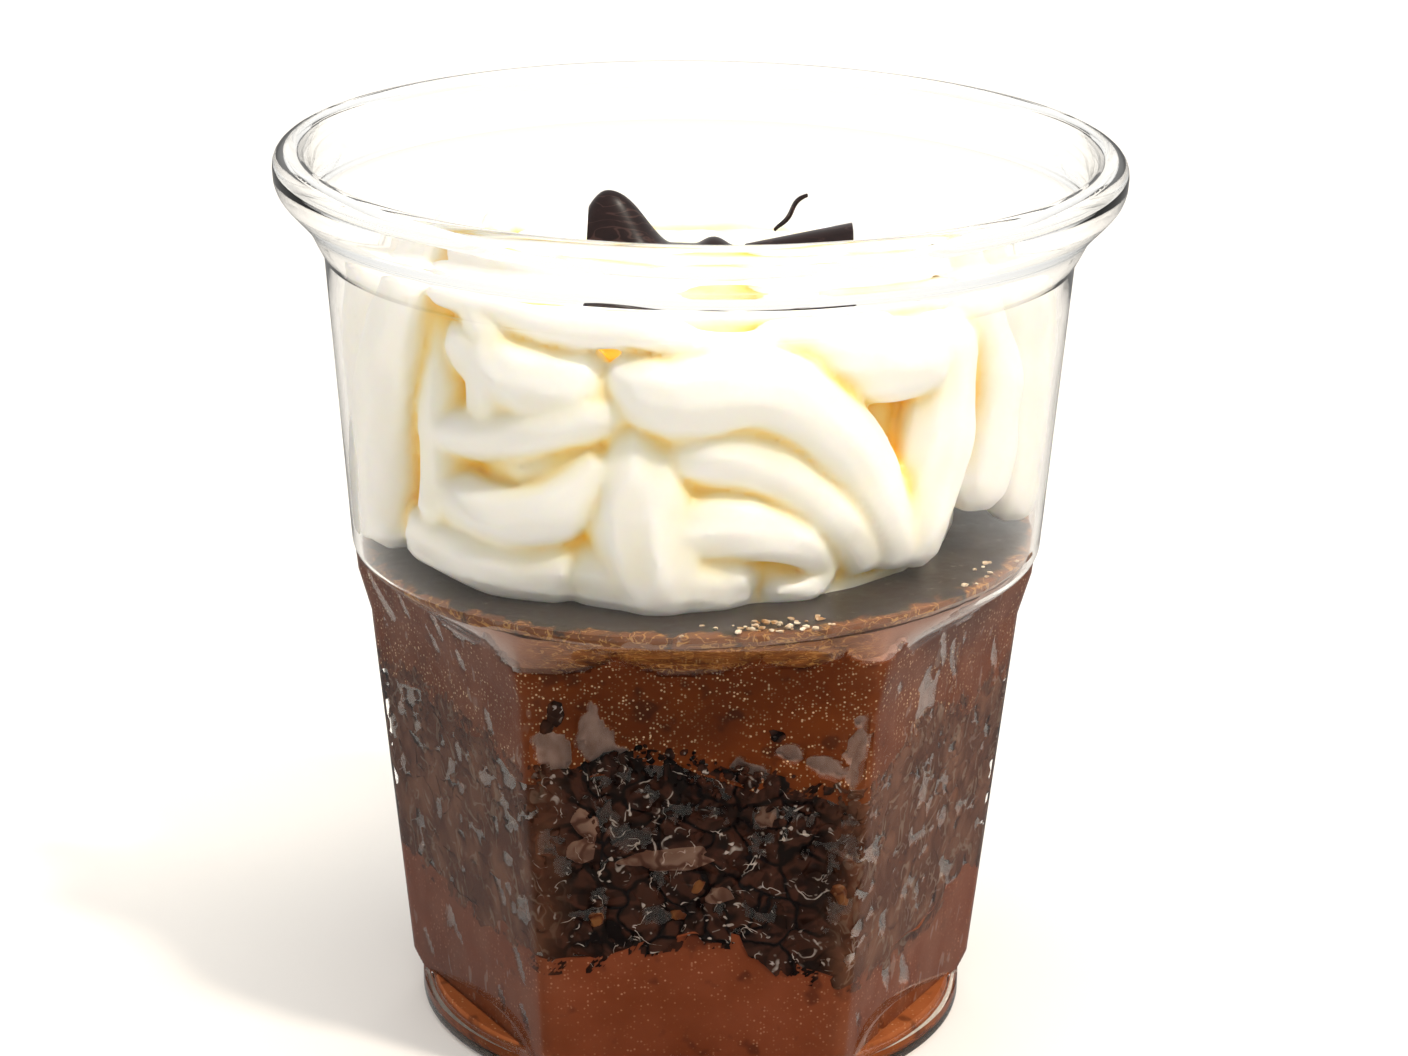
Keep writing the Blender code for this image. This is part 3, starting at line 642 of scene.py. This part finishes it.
def sauced(name, deep, plain, curl, glint, roughness):
    """Cake soaked in fudge sauce: almost black, wet and glossy, marked with the curling edges of
    the torn pieces, with painted light on them: a painted highlight on each curl's lip, a dark
    seam of painted shade, and short painted glints along them."""
    made, tree, shader = finish_named(name, {"IOR": 1.45, "Specular IOR Level": 0.06})
    spot = node(tree, "ShaderNodeTexCoord").outputs["Object"]
    side = node(tree, "ShaderNodeAttribute", {"attribute_name": "side"}).outputs["Fac"]
    crumb = node(tree, "ShaderNodeTexNoise", {"Scale": 1 / (4 * MM), "Detail": 6.0}, Vector=spot)
    tone = laid(tree, deep, plain, crumb.outputs[0])
    tone = laid(tree, tone, curl, contour(tree, spot, 7.0, 0.10, seed=0.1, bend=2.0), 0.5)
    # Curls: cells drawn out of shape, each with a painted highlight on its paler lip and a dark
    # seam of painted shade in the crease round it.
    warp = node(tree, "ShaderNodeTexNoise", {"Scale": 1 / (4 * MM), "Detail": 2.0}, Vector=spot)
    warp = node(tree, "ShaderNodeVectorMath", {"operation": "SUBTRACT", 1: (0.5, 0.5, 0.5)},
                _0=warp.outputs["Color"])
    warp = node(tree, "ShaderNodeVectorMath", {"operation": "SCALE", "Scale": 4.5 * MM},
                _0=warp.outputs[0])
    bent = node(tree, "ShaderNodeVectorMath", {"operation": "ADD"}, _0=warp.outputs[0],
                _1=spot).outputs[0]
    cell = {"Scale": 1 / (CURL_SIZE * MM)}
    curls = node(tree, "ShaderNodeTexVoronoi", cell, Vector=bent).outputs["Distance"]
    lip_highlight = node(tree, "ShaderNodeMapRange", {"From Min": 0.30, "From Max": 0.55},
               Value=curls).outputs[0]
    tone = laid(tree, tone, curl, lip_highlight, 0.3)
    seam_shade = node(tree, "ShaderNodeTexVoronoi", {"feature": "DISTANCE_TO_EDGE", **cell}, Vector=bent)
    seam_shade = node(tree, "ShaderNodeMapRange", {"From Min": 0.09, "From Max": 0.03},
                Value=seam_shade.outputs["Distance"]).outputs[0]
    tone = laid(tree, tone, deep, seam_shade)
    tone = laid(tree, tone, deep, patches(tree, spot, 3.4, 0.54, 0.60, seed=0.5), 0.7)
    # Painted glints: on the curls' shoulders, in short arcs, and as single dots, fainter beside
    # the front.
    shine = node(tree, "ShaderNodeMath", {"operation": "SUBTRACT"}, _0=curls, _1=0.42)
    shine = node(tree, "ShaderNodeMath", {"operation": "ABSOLUTE"}, _0=shine.outputs[0])
    shine = node(tree, "ShaderNodeMapRange", {"From Min": 0.03, "From Max": 0.012},
                 Value=shine.outputs[0]).outputs[0]
    tone = laid(tree, tone, glint, shine, patches(tree, spot, 2.6, 0.57, 0.64, seed=0.35), 0.6)
    glint_strength = node(tree, "ShaderNodeMapRange", {"To Min": 0.8, "To Max": 0.25},
                 Value=side).outputs[0]
    tone = laid(tree, tone, glint, contour(tree, spot, 4.5, 0.015, seed=0.3, bend=1.5),
                patches(tree, spot, 1.8, 0.54, 0.62, seed=0.2), glint_strength)
    tone = laid(tree, tone, glint, patches(tree, spot, 0.7, 0.72, 0.78, seed=0.8, detail=0.0),
                patches(tree, spot, 4.0, 0.50, 0.62, seed=0.9), glint_strength)
    # Beside the front, painted reflection: a dusky haze with pale lines stands for the plastic's
    # sheen on those facets.
    tall = (1.0, 1.0, 0.6)
    tone = laid(tree, tone, "663c28", side, 0.75)
    tone = laid(tree, tone, "8a604a", patches(tree, spot, 3.4, 0.42, 0.66, tall, seed=0.1), side,
                0.6)
    tone = laid(tree, tone, "94806e", contour(tree, spot, 3.0, 0.04, (1.0, 1.0, 0.7), 0.2),
                patches(tree, spot, 2.5, 0.47, 0.55, tall, seed=0.6), side, 0.45)
    surfaced(tree, shader, tone, crumb.outputs[0], roughness * 0.6, roughness * 1.5, 0.4, 0.12)
    return made


# The same sauced cake four ways: the mass, its glossier lumps, toffee bits, pressed patches.
# The fifth colour of each is the colour of its painted glints.
fudge = sauced("fudge_sauced_cake", "0a0302", "261008", "482a1f", "bcaea4", 0.22)
nugget_look = sauced("wet_cake_nuggets", "080202", "1e0b06", "4a2b20", "cabdb4", 0.16)
amber_look = sauced("toffee_brown_bits", "4a2412", "7c4a26", "8a5a34", "c89a74", 0.3)
patch_look = sauced("pressed_cake_patches", "4c3026", "6c4e40", "886c5e", "b49c8e", 0.3)
settled("cake_mass", bm, fudge, ["cake_layer"])


def add_nugget(bm, angle, height, size, chance, fine=2, sink=0.4, flat=1.0):
    """One torn piece: a lumpy, stretched ball pressed flat against the wall."""
    stretch = Vector((chance.uniform(0.6, 1.5) * flat, chance.uniform(0.5, 0.9),
                      chance.uniform(0.5, 1.2) / flat))
    roll = chance.uniform(0, math.tau) if flat == 1.0 else chance.uniform(-0.2, 0.2)
    seed = Vector((chance.uniform(0, 90), chance.uniform(0, 90), chance.uniform(0, 90)))
    centre = inside_radius(angle, height) + sink - size * stretch.y * chance.uniform(0.35, 1.1)

    def place(co):
        bend = 1 + 0.45 * noise.noise(co * 1.3 + seed) + 0.2 * noise.noise(co * 3 + seed)
        p = co * size * bend
        along, outward, up = p.x * stretch.x, p.y * stretch.y, p.z * stretch.z
        along, up = (along * math.cos(roll) - up * math.sin(roll),
                     along * math.sin(roll) + up * math.cos(roll))
        where, level = angle + along / centre, height + up
        reach = min(centre + outward, inside_radius(where, level) + sink)
        return reach * math.cos(where), reach * math.sin(where), level

    add_ball(bm, fine, place)


def marked(bm):
    """Marks every vertex with how far round beside the front it lies, for its colour."""
    side = bm.verts.layers.float.new("side")
    for vert in bm.verts:
        vert[side] = beside(math.atan2(vert.co.y, vert.co.x))
    bmesh.ops.recalc_face_normals(bm, faces=bm.faces)
    return bm


chance = random.Random(11)
bm = bmesh.new()
for i in range(300):
    angle = chance.uniform(0, math.tau)
    low, high = cake_bottom(angle), cake_top(angle)
    add_nugget(bm, angle, chance.uniform(low + 0.6, high - 0.4), chance.uniform(1.2, 3.0), chance)
settled("cake_nuggets", marked(bm), nugget_look)
bm = bmesh.new()
for i in range(1500):
    angle = chance.uniform(0, math.tau)
    low, high = cake_bottom(angle), cake_top(angle)
    height = high - abs(chance.gauss(0, 5.0)) + 0.8
    if height > low:
        add_nugget(bm, angle, height, chance.uniform(0.25, 0.7), chance, fine=1, sink=0.45)
for degrees, height, size in ((15.2, 43.2, 1.5), (-25.9, 45.8, 1.4), (-27.2, 44.2, 0.9)):
    add_nugget(bm, math.radians(degrees - 90), height, size, chance, sink=0.5)
settled("cake_crumbs", marked(bm), nugget_look)
# Toffee bits and pressed patches: degrees from the front, height, size and how flat
for name, look, sink, pieces in (
    ("toffee_bits", amber_look, 0.5, (
        (-20.3, 21.2, 1.1, 1.0), (28.5, 24.6, 1.2, 1.0), (0.4, 25.3, 0.9, 1.0),
        (-3.8, 21.9, 1.0, 1.0), (72, 27, 1.6, 1.0), (-75, 22, 1.7, 1.0), (130, 30, 1.5, 1.0),
        (170, 20, 1.9, 1.0), (-140, 27, 1.6, 1.0), (-110, 33, 1.2, 1.0))),
    ("cake_patches", patch_look, 0.45, (
        (-8.0, 28.6, 3.0, 1.6), (1.0, 28.2, 2.2, 1.3), (-22.5, 33.0, 2.5, 0.8),
        (-23.5, 29.4, 1.8, 1.0), (5.0, 24.2, 1.6, 1.1), (14.0, 33.5, 1.4, 0.9),
        (124, 29, 2.2, 1.5), (-118, 25, 2.0, 1.4), (178, 31, 2, 1.3))),
):
    bm = bmesh.new()
    for degrees, height, size, flat in pieces:
        add_nugget(bm, math.radians(degrees - 90), height, size, chance, sink=sink, flat=flat)
    settled(name, marked(bm), look)

# --- The ganache glaze -----------------------------------------------------------------------
# A thin pour of dark ganache that set satin smooth on the top mousse, thin and golden brown at
# its edge, where the mousse drew away from the wall.

GLAZE_STEPS = 288
GLAZE_LIFTS = (0.0, 0.25, 0.6, 0.9, 1.0)  # how high each row of its edge lies in the layer
EDGE_START = 34.0

bm = bmesh.new()
spun(bm, [(0.0, 0.0), (20.0, 0.0), (36.0, 0.0), (40.0, 1.0), (40.0, 2.0), (40.0, 3.0), (39.0, 3.9),
          *[(radius, 4.0) for radius in (38.0, 36.0, 34.0, 30.0, 26.0, 20.0, 10.0, 0.0)]],
     GLAZE_STEPS)
edge = bm.verts.layers.float.new("edge")
for vert in bm.verts:
    x, y, row = vert.co
    angle, radius = math.atan2(y, x), math.hypot(x, y)
    reach = inside_radius(angle, GLAZE_TOP) - 0.05 + 0.25 * wobble(angle, 0, 2.5, 31)
    vert[edge] = (radius - EDGE_START) / 6
    place = reach * radius / 40.0 - (0.5 if row == 1.0 else 0.0)
    tilt = GLAZE_SLOPE * place * math.cos(angle)
    lump = 0.12 * noise.noise(Vector((x, y, 0)) / 5.0)
    height = tilt + mix(GLAZE_BOTTOM - 0.15, GLAZE_TOP + lump, GLAZE_LIFTS[round(row)])
    vert.co = (place * math.cos(angle), place * math.sin(angle), height)
bmesh.ops.recalc_face_normals(bm, faces=bm.faces)

# Set ganache: nearly black and satin smooth, with a golden brown frayed edge where it is thin
# and a little dust of cocoa.
ganache, tree, shader = finish_named("set_dark_ganache", {"IOR": 1.46})
spot = node(tree, "ShaderNodeTexCoord").outputs["Object"]
grain = node(tree, "ShaderNodeTexNoise", {"Scale": 1 / (1.1 * MM), "Detail": 6.0}, Vector=spot)
tone = laid(tree, "17100c", "3c3029", grain.outputs[0])
rim = node(tree, "ShaderNodeAttribute", {"attribute_name": "edge"})
fibres = node(tree, "ShaderNodeTexNoise", {"Scale": 1 / (3.6 * MM), "Detail": 6.0,
                                           "Distortion": 1.0}, Vector=spot)
frayed = node(tree, "ShaderNodeMath", {"operation": "ADD"}, _0=rim.outputs["Fac"],
              _1=fibres.outputs[0])
golden = node(tree, "ShaderNodeMapRange", {"From Min": 1.30, "From Max": 1.44},
              Value=frayed.outputs[0]).outputs[0]
tone = laid(tree, tone, "714222", golden)
tone = laid(tree, tone, "c49556", contour(tree, spot, 1.8, 0.03, seed=0.4), golden, 0.6)
tone = laid(tree, tone, "a89a90", contour(tree, spot, 1.4, 0.02, seed=0.9),
            patches(tree, spot, 1.2, 0.62, 0.68, seed=0.3), 0.35)
surfaced(tree, shader, tone, grain.outputs[0], 0.22, 0.5, 0.3, 0.1)
settled("ganache_glaze", bm, ganache, ["dark_glaze"])

# A few pale crumbs of dried cream and cocoa lie on the glaze by the wall.
chance = random.Random(5)
bm = bmesh.new()
for i in range(70):
    middle = 11 if i < 46 else chance.choice((-150, -95, 58, 120, 170))
    angle = math.radians(chance.gauss(middle, 4.5) - 90)
    reach, size = chance.uniform(34.0, 37.4), chance.uniform(0.10, 0.32)
    spot = Vector((reach * math.cos(angle), reach * math.sin(angle), 0.0))
    spot.z = GLAZE_TOP + GLAZE_SLOPE * spot.x + 0.4 * size
    add_ball(bm, 1, lambda co: spot + Vector((co.x * 1.4, co.y, co.z * 0.8)) * size
             * (1 + 0.6 * noise.noise(co * 1.7 + spot)))
bmesh.ops.recalc_face_normals(bm, faces=bm.faces)
# Dry crumbs, from the brown of cocoa to the pale of dried cream.
dust_look, tree, shader = finish_named("pale_glaze_crumbs", {"Roughness": 0.6})
spot = node(tree, "ShaderNodeTexCoord").outputs["Object"]
tone = laid(tree, "a87c4c", "efe2cc", patches(tree, spot, 1.5, 0.4, 0.6))
tree.links.new(tone, shader.inputs["Base Color"])
settled("glaze_crumbs", bm, dust_look)

# --- The whipped cream -----------------------------------------------------------------------
# Softly whipped cream dropped in by the spoonful and pushed down, so it lies in heavy, uneven
# folds with deep creases, smooth and moist, here and there with a burst bubble.

CREAM_VOXEL = 0.5
SHARPEN = 0.65  # how far its crests and creases are drawn out
CREAM_SINK, CREAM_PRESS = 0.35, 0.15  # how far it lies in the glaze, and in the wall
DEEPEST_HOLLOW = 1.9
CORE_RADIUS, CORE_FOOT, CORE_SHOULDER, CORE_TOP = 28.2, 54.0, 76.0, 87.0
BACK_TURN, BACK_DROP = 171.0, 3.5  # degrees round, and how much lower the cream lies there
FOLD_TURN = -1.2
FOLDS = {
    "front_bulb": ((-11, 27.2, 75.2, 3.8), (-10, 26.6, 67.5, 7.0), (-8, 26.4, 60.8, 6.8)),
    "front_foot": ((-22, 26.0, 60.0, 5.4), (-8, 26.5, 60.5, 6.0), (4, 26.0, 60.0, 5.2)),
    "foot_filling": ((0, 21.0, 60.0, 6.0), (22, 20.5, 60.0, 6.0), (40, 21.5, 60.0, 6.0)),
    "curled_tongue": ((-5, 27.2, 65.5, 5.4), (8, 28.0, 66.0, 4.6), (19, 28.5, 64.6, 3.5),
                      (26, 28.2, 61.8, 2.4), (28, 27.8, 59.6, 1.9), (24, 28.2, 58.2, 1.6),
                      (18, 28.0, 58.0, 1.3)),
    "second_rope": ((-8, 27.0, 73.0, 4.0), (4, 28.2, 74.0, 4.4), (16, 28.3, 72.2, 4.4),
                    (28, 28.3, 67.0, 4.0), (38, 27.5, 61.5, 3.4)),
    "main_rope": ((-12, 27.0, 80.0, 4.2), (-3, 29.0, 79.4, 4.8), (12, 29.5, 80.4, 4.7),
                  (25, 29.5, 76.6, 4.6), (35, 29.0, 70.0, 4.4), (45, 28.2, 61.8, 3.8)),
    "front_crest": ((-54, 31.5, 88.0, 2.4), (-31, 29.0, 86.2, 2.6), (-11, 28.2, 86.3, 2.4),
                    (1, 27.5, 83.8, 2.0), (20, 27.0, 84.6, 2.0), (38, 29.5, 85.6, 2.2)),
    "right_lobe": ((22, 24.5, 82.5, 4.6), (36, 28.0, 82.0, 5.0), (48, 29.5, 81.4, 4.4)),
    "right_drop": ((56, 30.5, 82.0, 4.2), (54, 30.3, 72.0, 4.4), (51, 28.4, 62.0, 4.4)),
    "right_fold": ((64, 32.0, 86.0, 3.2), (69, 33.0, 76.0, 3.8), (70, 31.5, 66.0, 4.2)),
    "right_wall_fold": ((84, 34.5, 84.0, 4.4), (86, 34.8, 72.0, 4.6), (84, 34.6, 62.0, 3.6)),
    "left_peak": ((-52, 31.0, 89.0, 2.0), (-45, 29.0, 84.5, 4.0), (-42, 29.0, 79.0, 4.8),
                  (-45, 29.3, 74.8, 3.6)),
    "left_face": ((-50, 29.0, 82.0, 4.4), (-38, 28.5, 80.0, 5.4), (-28, 27.5, 79.5, 5.0)),
    "left_filling": ((-60, 29.0, 84.0, 4.0), (-58, 29.5, 74.0, 4.6), (-56, 29.5, 64.0, 5.0)),
    "left_ridge": ((-36, 28.0, 84.5, 2.6), (-29, 28.3, 80.5, 2.8), (-22, 27.5, 77.0, 3.0)),
    "left_shelf": ((-54, 30.5, 72.2, 3.4), (-38, 30.0, 74.4, 3.6), (-25, 28.8, 76.2, 3.4),
                   (-13, 27.5, 77.6, 2.8)),
    "hollow_filling": ((-50, 26.8, 70.0, 4.4), (-36, 27.0, 70.4, 4.6), (-24, 26.6, 72.0, 4.4)),
    "left_tongue": ((-54, 30.0, 65.4, 4.4), (-41, 30.2, 64.6, 4.2), (-29, 29.8, 66.2, 3.8),
                    (-20, 28.8, 70.6, 3.2)),
    "left_foot": ((-62, 30.5, 60.0, 4.4), (-44, 30.0, 60.2, 4.8), (-30, 28.0, 60.0, 4.6)),
    "left_column": ((-64, 33.4, 87.0, 3.6), (-69, 33.8, 76.0, 5.0), (-74, 33.6, 61.0, 4.8)),
    "left_wall_fold": ((-86, 34.5, 85.0, 4.4), (-88, 34.6, 72.0, 5.0), (-90, 34.0, 60.5, 4.8)),
    "top_sweep": ((-44, 25.0, 84.6, 3.4), (-10, 19.0, 85.0, 3.6), (40, 18.0, 84.8, 3.6),
                  (92, 23.0, 83.0, 3.8)),
    "top_left": ((-78, 29.0, 83.4, 3.6), (-95, 20.0, 85.0, 3.6), (-140, 15.0, 85.6, 3.4)),
    "under_chocolate": ((-63, 13.4, 85.6, 3.2), (-38, 8.2, 85.7, 3.2), (0, 6.6, 85.7, 3.2),
                        (49, 9.8, 85.6, 3.2), (69, 17.1, 85.4, 3.2)),
    "top_back": ((110, 28.0, 80.0, 4.0), (150, 21.0, 83.0, 4.0), (200, 19.0, 83.6, 4.0),
                 (250, 25.0, 81.0, 4.0)),
}


def back_folds():
    """The same kind of folds behind, where the spoon went in the other way round."""
    folds = []
    for name, fold in FOLDS.items():
        if name.startswith(("top", "under", "foot_filling")) or "wall" in name:
            continue
        folds.append([(BACK_TURN - degrees, radius + 0.8, height - BACK_DROP * (height - 56) / 30,
                       half) for degrees, radius, height, half in fold])
    return folds


bm = bmesh.new()
core = [(0.0, CORE_FOOT), (CORE_RADIUS, CORE_FOOT), (CORE_RADIUS, CORE_SHOULDER)]
for step in range(1, 8):
    around = math.pi / 2 * step / 8
    core.append((CORE_RADIUS * math.cos(around) ** 0.6,
                 CORE_SHOULDER + (CORE_TOP - CORE_SHOULDER) * math.sin(around)))
spun(bm, core + [(0.0, CORE_TOP)], 72)
for fold in [*FOLDS.values(), *back_folds()]:
    places = []
    for degrees, radius, height, half in fold:
        angle = math.radians(degrees + FOLD_TURN) - math.pi / 2
        places.append(Vector((radius * math.cos(angle), radius * math.sin(angle), height, half)))
    for spot in smooth_path(places, 12):
        add_ball(bm, 2, lambda co: spot.xyz + co * spot[3])
bmesh.ops.recalc_face_normals(bm, faces=bm.faces)


def blended(bm, voxel, rounds):
    """Melts overlapping closed shapes into one skin and softens its creases."""
    mesh = bpy.data.meshes.new("rough")
    bm.to_mesh(mesh)
    bm.free()
    rough = bpy.data.objects.new("rough", mesh)
    scene.collection.objects.link(rough)
    one = rough.modifiers.new("one_mass", "REMESH")
    one.mode = "VOXEL"
    one.voxel_size = voxel
    soft = rough.modifiers.new("soften", "SMOOTH")
    soft.factor = 0.5
    soft.iterations = rounds
    bpy.context.view_layer.update()
    made = bmesh.new()
    made.from_object(rough, bpy.context.evaluated_depsgraph_get())
    bpy.data.objects.remove(rough)
    return made


def kept_in(x, y, z):
    """A place of the cream, lifted out of the glaze and drawn in from the cup's wall."""
    z = max(z, GLAZE_TOP + GLAZE_SLOPE * x - CREAM_SINK)
    limit = inside_radius(math.atan2(y, x), z) + CREAM_PRESS
    shrink = min(1.0, limit / math.hypot(x, y, 0.001))
    return x * shrink, y * shrink, z


bm = blended(bm, CREAM_VOXEL, 4)
bmesh.ops.triangulate(bm, faces=[f for f in bm.faces if len(f.verts) > 4])
for vert in bm.verts:
    x, y, z = vert.co
    angle, radius = math.atan2(y, x), math.hypot(x, y)
    if z > 58 and radius > 10:
        push = 0.5 * noise.noise(Vector((x, y, z)) / 7.0) + 0.05 * noise.noise(
            Vector((x, y, z * 1.4)) / 2.2)
        radius += push
    if z > 80 and radius < 30:
        z += 0.9 * noise.noise(Vector((x, y, 0)) / 6.5) * ease((31 - radius) / 5)
    vert.co = kept_in(radius * math.cos(angle), radius * math.sin(angle), z)
bm.verts.ensure_lookup_table()
spots = np.array([v.co for v in bm.verts])
pairs = np.array([(e.verts[0].index, e.verts[1].index) for e in bm.edges])
bm.normal_update()
facing = np.array([v.normal for v in bm.verts])
degree = np.bincount(pairs.ravel(), minlength=len(spots))[:, None]


def softened(spots, rounds):
    """The skin's corners, each moved again and again towards the middle of its neighbours."""
    for _ in range(rounds):
        total = np.zeros_like(spots)
        for near, far in (pairs.T, pairs.T[::-1]):
            for axis in range(3):
                total[:, axis] += np.bincount(near, weights=spots[far, axis],
                                              minlength=len(spots))
        spots = 0.3 * spots + 0.7 * total / degree
    return spots


# How deep each place lies in a fold, for the painted shade in the hollows.
depth = ((softened(spots, 60) - spots) * facing).sum(1)
sharper = spots + SHARPEN * (spots - softened(spots, 14))
hollow_shade = bm.verts.layers.float.new("hollow_shade")
for vert, deep, place in zip(bm.verts, depth, sharper):
    vert[hollow_shade] = float(np.clip(0.5 + deep / DEEPEST_HOLLOW, 0, 1))
    vert.co = kept_in(*place)

# Whipped cream: moist and soft, lit from inside, ivory on its crests. Painted shade: it turns
# buttery yellow the deeper a place lies in its hollows. Its pores are drawn coarser than the real
# ones, or they wouldn't show.
cream, tree, shader = finish_named("soft_whipped_cream", {
    "IOR": 1.45, "Roughness": 0.36, "Subsurface Weight": 0.5, "Subsurface Scale": 1.8 * MM,
    "Subsurface Radius": (1.0, 0.8, 0.45)})
spot = node(tree, "ShaderNodeTexCoord").outputs["Object"]
shade_depth = node(tree, "ShaderNodeAttribute", {"attribute_name": "hollow_shade"})
ramp = node(tree, "ShaderNodeValToRGB", None, Fac=shade_depth.outputs["Fac"])
ramp.color_ramp.elements[0].position = 0.30
ramp.color_ramp.elements[0].color = colour("fffdf6")
ramp.color_ramp.elements[1].position = 0.98
ramp.color_ramp.elements[1].color = colour("ffc62a")
for position, text in ((0.52, "fdf6e2"), (0.64, "f9ebc4"), (0.78, "fbdd8c")):
    ramp.color_ramp.elements.new(position).color = colour(text)
tree.links.new(ramp.outputs[0], shader.inputs["Base Color"])
pores = node(tree, "ShaderNodeTexNoise", {"Scale": 1 / (0.9 * MM), "Detail": 3.0}, Vector=spot)
bump = node(tree, "ShaderNodeBump", {"Strength": 0.12, "Distance": 0.08 * MM},
            Height=pores.outputs[0])
tree.links.new(bump.outputs[0], shader.inputs["Normal"])
settled("whipped_cream_folds", bm, cream, ["whipped_cream"], sharp=180)

# --- The dark chocolate ----------------------------------------------------------------------
# Shavings scraped from a block of dark chocolate: a bent leaf, a rolled scroll and a thin sliver,
# smooth with a satin bloom, scraped lines and thin painted highlights along them.

CHOCOLATE_LEVEL, CHOCOLATE_Y = 87.6, -2.2
FLAKE_THICKNESS, FLAKE_LEFT, FLAKE_LENGTH, FLAKE_HALF_DEPTH = 1.2, -11.5, 15.6, 2.6
FLAKE_RIM_RISE = 0.5
PEAK_HEIGHT, PEAK_AT, PEAK_LEFT_SPREAD, PEAK_RIGHT_SPREAD = 6.0, 0.10, 0.19, 0.44
HUMP_HEIGHT, HUMP_AT, HUMP_SPREAD = 1.1, 0.83, 0.09
ROLL_THICKNESS, ROLL_LENGTH, ROLL_RADIUS, ROLL_MIDDLE = 0.9, 11.6, 2.4, 10.7
ROLL_NARROWING, ROLL_INNER_SHARE = 0.3, 0.55
ROLL_LEVEL, ROLL_TILT, ROLL_LIP, ROLL_TURN = 87.75, 0.13, 150.0, 340.0


def flake_place(u, v):
    """The leaf: a tall peak at its left end, a long slope and a low hump at its right."""
    if u < PEAK_AT:
        peak = PEAK_HEIGHT * math.exp(-(((u - PEAK_AT) / PEAK_LEFT_SPREAD) ** 2))
    else:
        down = min((u - PEAK_AT) / PEAK_RIGHT_SPREAD, 1.0)
        peak = PEAK_HEIGHT * (0.5 + 0.5 * math.cos(math.pi * down)) ** 0.85
    hump = HUMP_HEIGHT * math.exp(-(((u - HUMP_AT) / HUMP_SPREAD) ** 2))
    side = 2 * v - 1
    return Vector((
        FLAKE_LEFT + FLAKE_LENGTH * u + 0.7 * side * (1 - u),
        CHOCOLATE_Y + side * (FLAKE_HALF_DEPTH + math.sin(math.pi * u)) - u,
        CHOCOLATE_LEVEL + (peak + hump + FLAKE_RIM_RISE) * (1 - abs(side) ** 1.7)))


def roll_place(u, v):
    """The scroll: a sheet rolled nearly once round, narrower to the left and tilted."""
    around = math.radians(ROLL_LIP - ROLL_TURN * (1 - v))
    winding = ROLL_INNER_SHARE + (1 - ROLL_INNER_SHARE) * v
    reach = ROLL_RADIUS * winding * (1 - ROLL_NARROWING * (1 - u))
    along = ROLL_LENGTH * (u - 0.5)
    return Vector((ROLL_MIDDLE + along,
                   CHOCOLATE_Y + reach * math.cos(around) + 0.1 * along,
                   ROLL_LEVEL + reach * math.sin(around) + ROLL_TILT * along))


def shaving(name, place, columns, rows, thickness, look, nodes=()):
    """A thin bent sheet: a flat grid laid on place(u, v) and given its thickness."""
    bm = bmesh.new()
    bmesh.ops.create_grid(bm, x_segments=columns, y_segments=rows, size=0.5)
    for vert in bm.verts:
        vert.co = place(vert.co.x + 0.5, vert.co.y + 0.5)
    bmesh.ops.recalc_face_normals(bm, faces=bm.faces)
    piece = settled(name, bm, look, nodes, sharp=60)
    wall = piece.modifiers.new("thickness", "SOLIDIFY")
    wall.thickness = thickness * MM
    wall.offset = 0.0
    rounding = piece.modifiers.new("soft_edge", "BEVEL")
    rounding.width = thickness * 0.3 * MM
    rounding.segments = 2
    rounding.limit_method = "ANGLE"
    return piece


# Dark chocolate scraped with a knife: deep brown, satin, with fine lines along the scrape and thin
# pale lines of painted highlight.
chocolate, tree, shader = finish_named("dark_chocolate_shaving", {
    "IOR": 1.46, "Specular IOR Level": 0.2})
spot = node(tree, "ShaderNodeTexCoord").outputs["Object"]
scrape = node(tree, "ShaderNodeMapping", {"Scale": (0.25, 1.0, 1.0)}, Vector=spot)
lines = node(tree, "ShaderNodeTexNoise", {"Scale": 1 / (0.7 * MM), "Detail": 4.0},
             Vector=scrape.outputs[0])
tone = laid(tree, "0d0505", "241211", lines.outputs[0])
# Painted highlights: thin pale lines along the scrape.
tone = laid(tree, tone, "5a403a",
            contour(tree, spot, 2.2, 0.02, (0.25, 1.0, 1.0), 0.3), 0.3)
surfaced(tree, shader, tone, lines.outputs[0], 0.25, 0.42, 0.25, 0.06)
shaving("chocolate_leaf", flake_place, 60, 24, FLAKE_THICKNESS, chocolate, ["chocolate_flake"])
shaving("chocolate_scroll", roll_place, 30, 60, ROLL_THICKNESS, chocolate, ["chocolate_roll"])


def cream_top(x, y):
    """Height of the cream's surface at a place, taken from its own corners."""
    near = np.hypot(sharper[:, 0] - x, sharper[:, 1] - y) < 1.2
    return float(sharper[near, 2].max())


# Crumbs of the same block lie about on the cream.
bm = bmesh.new()
for x, y, size in ((17.4, 1.0, 0.5), (18.6, 2.0, 0.4), (19.6, 0.6, 0.3), (23.4, 2.0, 0.3),
                   (21.0, 6.0, 0.35)):
    spot = Vector((x, y, cream_top(x, y) + 0.3 * size))
    add_ball(bm, 1, lambda co: spot + Vector((co.x * 1.7, co.y, co.z * 0.7)) * size
             * (1 + 0.7 * noise.noise(co * 1.6 + spot)))
bmesh.ops.recalc_face_normals(bm, faces=bm.faces)
settled("chocolate_crumbs", bm, chocolate, sharp=25)


def sliver_place(u, v):
    """The sliver: a thin S-shaped strip that stands up out of the cream."""
    side = (v - 0.5) * (0.8 - 0.5 * abs(2 * u - 1))
    return Vector((8.6 + 3.8 * u + 0.3 * math.sin(6.0 * u), 13.6 + side,
                   86.6 + 4.0 * u ** 0.8 - 0.22 * math.sin(6.0 * u) + 0.7 * side))


shaving("chocolate_sliver", sliver_place, 14, 3, 0.35, chocolate)
